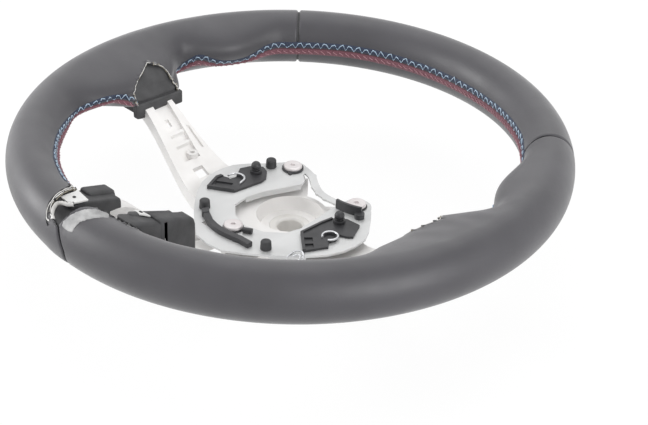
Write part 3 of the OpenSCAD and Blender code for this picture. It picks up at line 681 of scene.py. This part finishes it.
PANEL_ENDS = {
    "top": (-SEAM_LEFT, SEAM_RIGHT), "right": (SEAM_RIGHT, 180 + SEAM_LOW),
    "left": (180 + SEAM_LOW, 360 - SEAM_LEFT),
}
half_gap = SEAM_GAP / 2 / MM_PER_DEGREE
panels = {
    label: leather_panel("leather_cover_" + label, start + half_gap, end - half_gap)
    for label, (start, end) in PANEL_ENDS.items()
}
for label, panel in panels.items():
    finish_piece(panel, "wheel", "grip_leather", "leather_" + label)


# ---------------------------------------------------------------- stitching

def thread_tree(name, beat, dashed=False):
    """Thread that steps between a line and a rail beside it, with so many points a stitch."""
    tree = bpy.data.node_groups.new(name, "GeometryNodeTree")
    tree.interface.new_socket("Geometry", in_out="INPUT", socket_type="NodeSocketGeometry")
    pitch = tree.interface.new_socket("Stitch pitch", in_out="INPUT", socket_type="NodeSocketFloat")
    radius = tree.interface.new_socket("Thread radius", in_out="INPUT", socket_type="NodeSocketFloat")
    thread = tree.interface.new_socket("Thread", in_out="INPUT", socket_type="NodeSocketMaterial")
    tree.interface.new_socket("Geometry", in_out="OUTPUT", socket_type="NodeSocketGeometry")
    start = add(tree, "NodeGroupInput")
    path = add(tree, "GeometryNodeMeshToCurve", {"Mesh": start.outputs["Geometry"]})
    step = add(
        tree, "ShaderNodeMath", {0: start.outputs["Stitch pitch"], 1: float(beat)}, operation="DIVIDE"
    )
    runs = add(
        tree, "GeometryNodeResampleCurve", {"Curve": path.outputs["Curve"], "Length": step.outputs[0]},
        mode="LENGTH",
    )
    index = add(tree, "GeometryNodeInputIndex")
    phase = add(tree, "ShaderNodeMath", {0: index.outputs[0], 1: float(beat)}, operation="MODULO")
    if dashed:
        share = add(tree, "ShaderNodeMath", {0: phase.outputs[0], 1: 0.5}, operation="MULTIPLY")
    else:
        share = add(tree, "ShaderNodeMath", {0: phase.outputs[0], 1: 0.5}, operation="GREATER_THAN")
    rail = add(tree, "GeometryNodeInputNamedAttribute", {"Name": "rail"}, data_type="FLOAT_VECTOR")
    shift = add(
        tree, "ShaderNodeVectorMath", {0: rail.outputs["Attribute"], "Scale": share.outputs[0]},
        operation="SCALE",
    )
    moved = add(
        tree, "GeometryNodeSetPosition", {"Geometry": runs.outputs["Curve"], "Offset": shift.outputs[0]}
    )
    line = moved.outputs["Geometry"]
    if dashed:
        wires = add(tree, "GeometryNodeCurveToMesh", {"Curve": line})
        edge = add(tree, "GeometryNodeInputIndex")
        place = add(tree, "ShaderNodeMath", {0: edge.outputs[0], 1: 3.0}, operation="MODULO")
        last = add(tree, "ShaderNodeMath", {0: place.outputs[0], 1: 1.5}, operation="GREATER_THAN")
        cut = add(
            tree, "GeometryNodeDeleteGeometry",
            {"Geometry": wires.outputs["Mesh"], "Selection": last.outputs[0]}, domain="EDGE",
        )
        line = add(tree, "GeometryNodeMeshToCurve", {"Mesh": cut.outputs["Geometry"]}).outputs["Curve"]
    ring = add(
        tree, "GeometryNodeCurvePrimitiveCircle",
        {"Resolution": 6, "Radius": start.outputs["Thread radius"]},
    )
    tube = add(
        tree, "GeometryNodeCurveToMesh",
        {"Curve": line, "Profile Curve": ring.outputs["Curve"], "Fill Caps": True},
    )
    solid = add(tree, "GeometryNodeRealizeInstances", {"Geometry": tube.outputs["Mesh"]})
    painted = add(
        tree, "GeometryNodeSetMaterial",
        {"Geometry": solid.outputs["Geometry"], "Material": start.outputs["Thread"]},
    )
    add(tree, "NodeGroupOutput", {"Geometry": painted.outputs["Geometry"]})
    return tree, pitch.identifier, radius.identifier, thread.identifier


def stitch_row(name, tree_info, span, low, high, height, pitch_mm, radius_mm, material):
    """Row of stitches between two lines beside the seam, given in degrees round the section."""
    angles = np.arange(span[0], span[1], 0.25)
    line = seam_line(angles)
    lift = height + creases(grip(angles, line), angles, line)
    near = grip(angles, line + low, lift + seam_relief(angles, line + low))
    far = grip(angles, line + high, lift + seam_relief(angles, line + high))
    uneven = np.array([0.8 + 0.7 * noise.noise((angle * 0.9, height, low)) for angle in angles])
    far = near + (far - near) * uneven[:, None]
    edges = [(i, i + 1) for i in range(len(angles) - 1)]
    row = new_object(name, near, [], None, edges=edges)
    rails = row.data.attributes.new("rail", "FLOAT_VECTOR", "POINT")
    rails.data.foreach_set("vector", ((far - near) * MM).ravel())
    tree, pitch, radius, thread = tree_info
    modifier = row.modifiers.new("stitches", "NODES")
    modifier.node_group = tree
    modifier[pitch] = pitch_mm * MM
    modifier[radius] = radius_mm * MM
    modifier[thread] = material
    bake_modifiers(row)
    row.data.shade_smooth()
    finish_piece(row, "wheel", "grip_leather")


def woven_ground(name, span, low, high, height, pitch_mm, material):
    """Close rows of thread beside the seam, as one ribbed sheet."""
    count = int((span[1] - span[0]) * MM_PER_DEGREE / pitch_mm * 4)
    angles = np.linspace(span[0], span[1], count)
    rows = np.linspace(0, 1, 13)
    a, row = np.meshgrid(angles, rows, indexing="ij")
    s = seam_line(a) + low + (high - low) * row
    ribs = np.cos(2 * np.pi * (a * MM_PER_DEGREE / pitch_mm + row * 1.5))
    swell = np.sqrt(np.clip(1 - (2 * row - 1) ** 4, 0, 1))
    flat = grip(a, s)
    lift = creases(flat, a, s) + seam_relief(a, s) - 0.2 + swell * (height + 0.22 * ribs)
    points = grip(a, s, lift).reshape(-1, 3)
    sheet = new_object(name, points, quads(*a.shape), material)
    orient_outwards(sheet)
    bake_wall(sheet, 0.3)
    finish_piece(sheet, "wheel", "grip_leather")


wave = thread_tree("wave_stitch", 3)
dash = thread_tree("dash_stitch", 3, dashed=True)
# Stretches of the rim with stitching, in degrees from twelve o'clock
STITCH_SPANS = {"upper": (-82.0, 82.0), "left": (-164.0, -103.3), "right": (104.8, 164.0)}
for label, span in STITCH_SPANS.items():
    # The navy ground holds painted shade under the blue stitches besides the dark thread
    woven_ground("navy_ground_" + label, span, -0.5, -BLUE_BAND - 2.5, 0.55, 1.9, navy_thread_and_shade)
    woven_ground("maroon_ground_" + label, span, 0.5, 17.0, 0.55, 2.1, maroon_thread)
    stitch_row("blue_stitches_" + label, wave, span, -2.0, -BLUE_BAND - 1, 0.8, 6.2, 0.38, blue_thread)
    # The red dashes carry painted highlight of the red thread over the maroon ground
    stitch_row("red_stitches_" + label, dash, span, 4.0, 12.0, 0.8, 4.6, 0.3, red_thread_and_highlight)


# ---------------------------------------------------------------- foam

# How far the foam sinks in where the leather is cut open over the legs
RECESS = 5.0


def foam_ring():
    """Foam under the leather, a little hollow where the openings show it."""
    angles = np.arange(0, 360, 1.0)
    around = np.arange(0, 360, 6.0)
    a, s = np.meshgrid(angles, around, indexing="ij")
    gap = opening_distance(grip(a, s))
    low = np.abs(wrap(a - 180)) < 30
    points = grip(a, s, -1.5 - RECESS * np.where(low, ease(-gap / 4), 0)).reshape(-1, 3)
    ring = new_object("foam_ring", points, quads(*a.shape, round_rows=True, round_columns=True), foam)
    orient_outwards(ring)
    return ring


# Collar of foam at a side spoke: point it is shrunk about, and the front and top of its lip
COLLAR_MIDDLE = (-10.5, -4.0)
LIP_FRONT = 124.0
LIP_HIGH = -9.0


def foam_collar(side, name):
    """Collar between the leather's arch and the spoke, with its wide lip."""
    middle_y, middle_z = COLLAR_MIDDLE
    shrunk = [
        (middle_y + (y - middle_y) * 0.96, middle_z + (max(z, -20.0) - middle_z) * 0.96) for y, z in ARCH
    ]
    outline = [(y, z) for y, z in shrunk if z >= LIP_HIGH + 1]
    first, last = outline[0][0], outline[-1][0]
    upper = [(first, LIP_HIGH)] + outline + [(last, LIP_HIGH)]
    n = len(upper)

    def front(z):
        return LIP_FRONT + (z - LIP_HIGH) * 0.85
    points = [(side * front(z), y, RIM_H + z) for y, z in upper]
    points += [(side * 150, y, RIM_H + z) for y, z in upper]
    foot = [(LIP_FRONT, -25.0), (LIP_FRONT, 1.5), (150, 1.5), (150, -25.0)]
    points += [(side * x, y, RIM_H - 20) for x, y in foot]
    faces = [tuple(range(n)), tuple(range(n, 2 * n))]
    faces += [(i, i + 1, n + i + 1, n + i) for i in range(n - 1)]
    faces += [(0, n - 1, 2 * n + 1, 2 * n), (n - 1, 2 * n - 1, 2 * n + 2, 2 * n + 1)]
    faces += [(2 * n - 1, n, 2 * n + 3, 2 * n + 2), (n, 0, 2 * n, 2 * n + 3)]
    faces += [(2 * n, 2 * n + 1, 2 * n + 2, 2 * n + 3)]
    # The wedge takes the darker foam, which paints the shade inside the arch
    wedge = new_object(name + "_wedge", points, faces, painted_shade_foam, smooth=False)
    turn_faces_out(wedge)
    lip = prism(name + "_lip", [
        (-31.5, -7.6), (-31.0, -18.5), (-25.6, -19.5), (-24.6, -17.0), (0.6, -16.0), (1.6, -19.0),
        (10.5, -19.0), (10.5, -9.0),
    ], LIP_FRONT - 0.6, LIP_FRONT + 4.6, lambda y, z, x: (side * x, y, RIM_H + z), foam)
    return [bevelled(wedge, 1.4, 4), bevelled(lip, 1.7, 4)]


foam_pieces = [foam_ring()] + foam_collar(1, "foam_collar_right") + foam_collar(-1, "foam_collar_left")


# Height of the hub casting's front face, and thickness of a leg of the casting
FLANGE_H = 24.0
LEG_T = 11.0


def leg_low(y):
    """Height of a leg's rear face."""
    return FLANGE_H + (RIM_H - 3 - FLANGE_H) * ease((-y - 66) / 64) - LEG_T


# Foam stubs over the two legs, left and right: fall of the top towards the hub, where the stub
# leaves the grip and where it ends, and its height over the grip's middle where it leaves it
STUB_SLOPE = (0.28, 0.385)
STUB_ROOT = (-165.0, -159.0)
STUB_END = (-127.2, -107.7)
STUB_RISE = (14.0, 21.0)


def stub_top(leg, y, extra=0.0, slope=None):
    """Height of a stub's top at a place along its leg."""
    fall = STUB_SLOPE[leg] if slope is None else slope
    return RIM_H + STUB_RISE[leg] + extra - fall * (y - STUB_ROOT[leg])


def stub_bar(name, leg, x, width, y_from, y_to, extra=0.0, corner=4.0, edge=1.6):
    """Long block along a leg, with its underside parallel to the leg and its free end rounded."""
    bend = (y_to - corner, stub_top(leg, y_to - corner, extra) - corner)
    profile = [(y_from, stub_top(leg, y_from, extra))]
    for turn in np.radians((90, 60, 30, 0)):
        profile.append((bend[0] + corner * math.cos(turn), bend[1] + corner * math.sin(turn)))
    profile += [(y, leg_low(y) - 3) for y in np.linspace(y_to, y_from, 7)]
    bar = prism(name, profile, x, x + width, lambda y, z, across: (across, y, z), foam)
    return bevelled(bar, edge, 4)


def cut_slot(bar, low, high):
    """Cut a box out of a bar."""
    corners = [(x, y, z) for x in (low[0], high[0]) for y in (low[1], high[1]) for z in (low[2], high[2])]
    tool = hull("slot_tool", corners, foam)
    cutter = bar.modifiers.new("slot", "BOOLEAN")
    cutter.operation = "DIFFERENCE"
    cutter.solver = "EXACT"
    cutter.object = tool
    bake_modifiers(bar)
    bpy.data.objects.remove(tool)


LEFT_X = LEG_X[0] - STUB_W[0] / 2
RIGHT_X = LEG_X[1] - STUB_W[1] / 2
RIGHT_END = RIGHT_X + STUB_W[1]
SLOT_Y = (-133.4, -131.0)
CAP_X = 17.2
right_cap = stub_bar(
    "foam_stub_right_cap", 1, CAP_X, RIGHT_END - CAP_X, -137.5, STUB_END[1], 1.8, 7.0, 2.6
)
right_bar = stub_bar(
    "foam_stub_right", 1, RIGHT_X, STUB_W[1] - 0.3, STUB_ROOT[1] + 1, STUB_END[1] - 1.5, -0.6, 6.0, 2.4
)
for bar in (right_cap, right_bar):
    cut_slot(bar, (RIGHT_END - 2.6, SLOT_Y[0], 40), (RIGHT_END + 3, SLOT_Y[1], 85))
foam_pieces += [
    right_cap,
    right_bar,
    stub_bar("foam_ridge_right", 1, RIGHT_X + 0.3, 5.2, -150.0, -116.0, 1.0, 4.0, 1.9),
    stub_bar("foam_stub_left", 0, LEFT_X, STUB_W[0], STUB_ROOT[0] - 1, STUB_END[0]),
    stub_bar("foam_ridge_left", 0, LEFT_X - 0.2, 11.2, -147.0, -125.6, 2.6, 5.0, 2.8),
]
for piece in foam_pieces:
    finish_piece(piece, "wheel", "grip_foam", "rim_foam")


RIVET_R = 1.1


def stub_plate(name, leg, outline, extra, node, slope):
    """Thin moulded plate that lies on a stub."""
    def lie(x, y, z):
        return x, y, stub_top(leg, y, extra, slope) + z
    plate = bevelled(prism(name, outline, 0.0, 1.3, lie, white_plastic), 0.3, 2)
    finish_piece(plate, "wheel", "trim_plate", node)
    middle_x, middle_y = np.mean(outline, axis=0)
    ring = [
        (middle_x + RIVET_R * math.cos(turn), middle_y + RIVET_R * math.sin(turn))
        for turn in np.linspace(0, 2 * math.pi, 13)[:-1]
    ]
    rivet = prism(name + "_rivet", ring, 1.2, 1.7, lie, dark_fibre_and_shade)
    finish_piece(rivet, "wheel", "trim_plate")


seat = prism(
    "foam_seat_left", [(-25.4, -168.4), (-15.6, -168.8), (-14.6, -158.6), (-25.4, -156.6)], 3.0, 15.4,
    at_rim, foam,
)
finish_piece(bevelled(seat, 0.8, 2), "wheel", "grip_foam")
stub_plate(
    "trim_plate_left_finished", 0, [(-26.6, -169.3), (-15.7, -169.8), (-13.2, -158.0), (-26.4, -155.6)],
    2.6, "trim_plate_left", 0.06,
)
stub_plate(
    "trim_plate_right_finished", 1, [(12.9, -143.6), (18.5, -144.4), (22.1, -138.3), (13.1, -139.3)],
    -0.1, "trim_plate_right", STUB_SLOPE[1],
)


# ---------------------------------------------------------------- torn leather over the legs

def over_grip(x, y, lift=0.0):
    """Point over the grip's front that stands above a place in plan."""
    r = math.hypot(x, y)
    s = math.acos(max(min((r - RIM_R) / (GRIP_W / 2), 1), -1))
    scale = 1 + lift / (GRIP_W / 2)
    out = RIM_R + (r - RIM_R) * scale
    return np.array([x * out / r, y * out / r, RIM_H + (GRIP_T / 2 + lift) * math.sin(s)])


def torn_layer(name, route, inset, height, ruffle, material, phase):
    """Thin curled layer along a torn edge that is given in plan."""
    path = np.array(smooth_path([(x, y, 0) for x, y in route], 8))
    ahead = np.gradient(path, axis=0)
    ahead /= np.linalg.norm(ahead, axis=1)[:, None]
    inward = np.stack([ahead[:, 1], -ahead[:, 0]], -1)
    points = []
    levels = (-1.8, -0.9, 0.0, 0.6, 1.0)
    for i, (x, y, _) in enumerate(path):
        wave = noise.noise((x * 0.22 + phase, y * 0.22, phase))
        fine = noise.noise((x * 0.7, y * 0.7, phase * 3))
        side = inset + ruffle * wave
        for level in levels:
            rise = level * (height * (1 + 0.5 * fine) if level > 0 else 1)
            lean = 0.5 * max(level, 0) ** 2 + 0.3 * fine * (level > 0)
            u, v = x + inward[i, 0] * (side - lean), y + inward[i, 1] * (side - lean)
            points.append(over_grip(u, v, rise))
    layer = new_object(name, points, quads(len(path), len(levels)), material)
    bake_wall(layer, 0.55, 0)
    finish_piece(layer, "wheel", "lining")


LEFT_TEAR = [
    (-39.0, -150.0), (-36.0, -152.4), (-32.0, -156.0), (-28.9, -160.4), (-26.9, -165.2),
    (-25.5, -170.0), (-24.6, -174.6), (-23.3, -178.5), (-20.5, -181.4), (-17.5, -182.7),
]
CURLED_TEAR = [
    (-16.5, -182.6), (-19.4, -180.9), (-21.2, -178.2), (-21.2, -175.4), (-18.6, -174.0),
    (-15.2, -172.8), (-12.0, -170.3),
]
RIGHT_TEAR = [(2.5, -162.5), (6.5, -160.8), (10.5, -158), (12.2, -153), (12.4, -147)]
# The dark layers put painted shade along the torn edge and between the curled layers, besides the leather's
# dark skin
torn_layer("torn_cover_skin_and_shade", LEFT_TEAR, 0.7, 0.9, 0.5, dark_fibre_and_shade, 1.0)
# The pale layers carry painted highlight of the curled edge as well as the leather's pale back
torn_layer("torn_cover_back_and_highlight", LEFT_TEAR, 1.7, 1.2, 0.7, pale_fibre_and_highlight, 2.0)
torn_layer("torn_cover_middle", LEFT_TEAR, 2.7, 0.8, 0.8, dark_fibre_and_shade, 5.0)
torn_layer("torn_cover_curl", CURLED_TEAR, 0.0, 0.9, 0.6, pale_fibre_and_highlight, 8.0)
torn_layer("torn_cover_curl_back", CURLED_TEAR, -1.0, 0.3, 0.6, dark_fibre_and_shade, 11.0)
torn_layer("torn_cover_right_skin_and_shade", RIGHT_TEAR, -0.4, 1.5, 1.2, dark_fibre_and_shade, 3.0)
torn_layer("torn_cover_right_back_and_highlight", RIGHT_TEAR, 0.9, 0.9, 1.0, pale_fibre_and_highlight, 6.0)
torn_layer("torn_cover_right_low", RIGHT_TEAR, 2.2, 1.2, 1.2, dark_fibre_and_shade, 9.0)


# The strip of lining: places round the section, and its two long edges there along the rim
FLAP_ROUND = (36.0, 39.0, 48.0, 63.0, 81.0, 111.0, 130.0)
FLAP_FAR = (181.0, 182.1, 182.3, 181.7, 181.2, 180.2, 179.4)
FLAP_NEAR = (180.0, 178.9, 178.9, 178.6, 177.2, 175.4, 176.8)
FLAP_T = 1.5


def lining_flap():
    """Strip of grey lining that lies crumpled across the low seam."""
    around = np.arange(FLAP_ROUND[0], FLAP_ROUND[-1] + 0.1, 1.5)
    rows = np.linspace(0, 1, 15)
    points = []
    for s in around:
        far, near = np.interp(s, FLAP_ROUND, FLAP_FAR), np.interp(s, FLAP_ROUND, FLAP_NEAR)
        end = min(s - FLAP_ROUND[0], FLAP_ROUND[-1] - s) / 5
        for row in rows:
            fray = 0.25 * noise.noise((s * 0.25, row * 0.1 + 4, 0))
            a = far + (near - far) * row + fray
            edge = min(row, 1 - row) / 0.22
            plump = math.sqrt(max(0, 1 - (1 - min(edge, end, 1)) ** 2))
            spot = grip(np.array(a), np.array(s))
            fold = noise.noise((spot[0] * 0.28, spot[1] * 0.28, 3.0)) * 0.9
            fold += noise.noise((spot[0] * 0.9, spot[1] * 0.9, 8.0)) * 0.3
            points.append(grip(np.array(a), np.array(s), -0.3 + FLAP_T * plump + fold * plump))
    flap = new_object("lining_strip", points, quads(len(around), len(rows)), lining_cloth)
    orient_outwards(flap)
    bake_wall(flap, 0.6)
    finish_piece(flap, "wheel", "lining", "lining_flap")


lining_flap()


# ---------------------------------------------------------------- finishes of the solid pieces

def paint(material, *names):
    """Finish for solids of the frame that stay as they are."""
    for name in names:
        mesh = nodes[name].data
        mesh.materials.clear()
        mesh.materials.append(material)


softened("armature", cast_metal, "cast_magnesium", 0.7, 3)
softened("spline_insert", insert_metal, "insert_steel", 0.4)
softened("horn_plate", sheet_metal, "plated_sheet", 0.4)
for side in ("left", "right"):
    softened("airbag_bracket_" + side, black_plastic, "black_plastic", 0.3)
    softened("centring_pin_" + side, black_plastic, "black_plastic", 0.3)
for place in ("left", "right", "bottom"):
    softened("guide_bolt_" + place, bolt_metal, "bolt_steel", 0.5, 3)
    softened("guide_bush_" + place, black_plastic, "black_plastic", 0.2)
for name in ("bumper_left", "bumper_bottom_left", "bumper_bottom_right"):
    softened(name, bumper_rubber, "bumper_rubber", 0.4)
for name in ("carrier_pin", "side_clip"):
    softened(name, black_plastic, "black_plastic", 0.4)


def ring_wall(name, centre, inner, outer, low, high, material):
    """Short tube round a vertical axis."""
    steps = 48
    section = ((inner, low), (inner, high), (outer, high), (outer, low))
    points = [
        (centre[0] + radius * math.cos(turn), centre[1] + radius * math.sin(turn), z)
        for turn in 2 * np.pi * np.arange(steps) / steps for radius, z in section
    ]
    faces = quads(steps, len(section), round_rows=True, round_columns=True)
    return bevelled(new_object(name, points, faces, material), 0.2, 2)


LEFT_BOLT = (-33.5, 34.0)
cup = ring_wall("bolt_cup", LEFT_BOLT, 6.65, 7.5, PLATE_TOP - 0.5, PLATE_TOP + 1.6, black_plastic)
finish_piece(cup, "horn_plate_assembly", "black_plastic")
nub = hull("bolt_cup_nub", [
    (LEFT_BOLT[0] + 4.2 + x, LEFT_BOLT[1] - 6.4 + y, PLATE_TOP - 0.4 + z)
    for x in (-1.3, 1.3) for y in (-1.3, 1.3) for z in (0, 1.8)
], black_plastic)
finish_piece(bevelled(nub, 0.3, 2), "horn_plate_assembly", "black_plastic")


def flat_bar(name, line, width, low, high, material):
    """Bar of even width along a line in plan."""
    path = np.array(line, float)
    ahead = np.gradient(path, axis=0)
    ahead /= np.linalg.norm(ahead, axis=1)[:, None]
    side = np.stack([-ahead[:, 1], ahead[:, 0]], -1) * width / 2
    outline = [tuple(p) for p in path + side] + [tuple(p) for p in (path - side)[::-1]]
    return prism(name, outline, low, high, in_place, material)


CARRIER_LINE = [
    (-29.5, -50.2), (-27.0, -52.2), (-21.5, -54.8), (-16.5, -57.4), (-10.0, -58.8), (-4.0, -59.3),
    (4.0, -58.6), (12.0, -57.0), (22.0, -56.6),
]
carrier = flat_bar(
    "lower_carrier_finished", CARRIER_LINE, 4.6, PLATE_TOP - 0.4, PLATE_TOP + 3.6, black_plastic
)
finish_piece(bevelled(carrier, 0.5, 2), "horn_plate_assembly", "black_plastic", "lower_carrier")
block = hull("lower_carrier_block", [
    (x, y, z) for x, y in ((-31.0, -52.4), (-28.6, -47.8), (-24.0, -51.2), (-26.5, -55.6))
    for z in (PLATE_TOP - 0.3, PLATE_TOP + 4.3)
], black_plastic)
finish_piece(bevelled(block, 0.6, 2), "horn_plate_assembly", "black_plastic")
clip = tube_along("edge_clip_finished", [
    (46.6, -47.0, PLATE_TOP + 0.3), (45.8, -43.0, PLATE_TOP + 0.7), (46.6, -39.2, PLATE_TOP + 1.6),
    (50.4, -37.4, PLATE_TOP + 2.2), (53.6, -38.8, PLATE_TOP + 1.2), (54.2, -40.4, PLATE_TOP - 0.8),
], 0.62, wire_metal)
finish_piece(clip, "horn_plate_assembly", "spring_steel", "edge_clip")
clip_tail = tube_along("edge_clip_tail", [
    (48.6, -44.2, PLATE_TOP + 0.4), (49.3, -41.2, PLATE_TOP + 0.9), (51.4, -40.2, PLATE_TOP + 1.2),
    (53.0, -41.4, PLATE_TOP + 0.4), (53.2, -42.8, PLATE_TOP - 1.0),
], 0.55, wire_metal)
finish_piece(clip_tail, "horn_plate_assembly", "spring_steel")
paint(spring_metal, "horn_spring_left", "horn_spring_right", "horn_spring_bottom")
paint(wire_metal, "lock_wire_left", "lock_wire_right")
paint(brass_metal, "contact_left", "contact_right", "contact_bottom")


# ---------------------------------------------------------------- floor, lights and camera

# Light of the room on the object, and glow of the floor as the camera sees it
ROOM_LIGHT = 0.66
FLOOR_GLOW = 0.92
FLOOR_HALF = 4.0


def seen_or_not(tree, seen, unseen):
    """One shader for the camera and for reflections, another for all other light."""
    path = add(tree, "ShaderNodeLightPath")
    looked_at = add(
        tree, "ShaderNodeMath",
        {0: path.outputs["Is Camera Ray"], 1: path.outputs["Is Glossy Ray"]}, operation="MAXIMUM",
    )
    return add(
        tree, "ShaderNodeMixShader",
        {"Fac": looked_at.outputs[0], 1: unseen.outputs[0], 2: seen.outputs[0]},
    ).outputs[0]


def make_floor():
    """Pale floor that the camera sees as white, with the object's shadow on it."""
    mesh = bpy.data.meshes.new("floor")
    corners = [(x * FLOOR_HALF, y * FLOOR_HALF, 0) for x, y in ((-1, -1), (1, -1), (1, 1), (-1, 1))]
    mesh.from_pydata(corners, [], [(0, 1, 2, 3)])
    floor = bpy.data.objects.new("floor", mesh)
    floor.location.z = cad_box[0][2] - 0.0005
    bpy.context.scene.collection.objects.link(floor)
    material = bpy.data.materials.new("floor_white")
    material.use_nodes = True
    tree = material.node_tree
    tree.nodes.clear()
    plain = add(tree, "ShaderNodeBsdfDiffuse", {"Color": (0.7, 0.7, 0.7, 1)})
    shaded = add(tree, "ShaderNodeBsdfDiffuse", {"Color": (0.09, 0.09, 0.09, 1)})
    glow = add(tree, "ShaderNodeEmission", {"Color": (1, 1, 1, 1), "Strength": FLOOR_GLOW})
    white = add(tree, "ShaderNodeAddShader", {0: shaded.outputs[0], 1: glow.outputs[0]})
    add(tree, "ShaderNodeOutputMaterial", {"Surface": seen_or_not(tree, white, plain)})
    mesh.materials.append(material)


def make_world():
    world = bpy.data.worlds.new("studio")
    bpy.context.scene.world = world
    world.use_nodes = True
    tree = world.node_tree
    tree.nodes.clear()
    room = add(tree, "ShaderNodeBackground", {"Color": (1, 1, 1, 1), "Strength": ROOM_LIGHT})
    backdrop = add(tree, "ShaderNodeBackground", {"Color": (1, 1, 1, 1), "Strength": 1.0})
    add(tree, "ShaderNodeOutputWorld", {"Surface": seen_or_not(tree, backdrop, room)})


def area_lamp(name, place, target, size, power):
    lamp = bpy.data.lights.new(name, "AREA")
    lamp.shape = "SQUARE"
    lamp.size = size
    lamp.energy = power
    holder = bpy.data.objects.new(name, lamp)
    holder.location = place
    holder.rotation_euler = (Vector(target) - Vector(place)).to_track_quat("-Z", "Y").to_euler()
    bpy.context.scene.collection.objects.link(holder)


def make_camera():
    data = bpy.data.cameras.new("camera")
    data.sensor_width = 36.0
    data.lens = 98.69
    data.clip_start = 0.05
    data.clip_end = 20.0
    camera = bpy.data.objects.new("camera", data)
    ahead = Vector((-0.59987, 0.60565, -0.52283)).normalized()
    up = Vector((-0.39256, 0.34660, 0.85192)).normalized()
    right = ahead.cross(up).normalized()
    up = right.cross(ahead)
    turn = Matrix((right, up, -ahead)).transposed()
    camera.matrix_world = Matrix.Translation((0.73845, -0.71290, 0.65523)) @ turn.to_4x4()
    bpy.context.scene.collection.objects.link(camera)
    bpy.context.scene.camera = camera


make_floor()
make_world()
middle = (0, 0, 0.06)
area_lamp("top_softbox", (-0.3, 0.5, 1.5), middle, 1.4, 6.5)
area_lamp("left_softbox", (-1.3, -1.0, 0.5), middle, 0.9, 18)
area_lamp("right_softbox", (1.5, -0.2, 0.45), middle, 0.9, 13)
make_camera()
bpy.context.scene.view_settings.view_transform = "Standard"
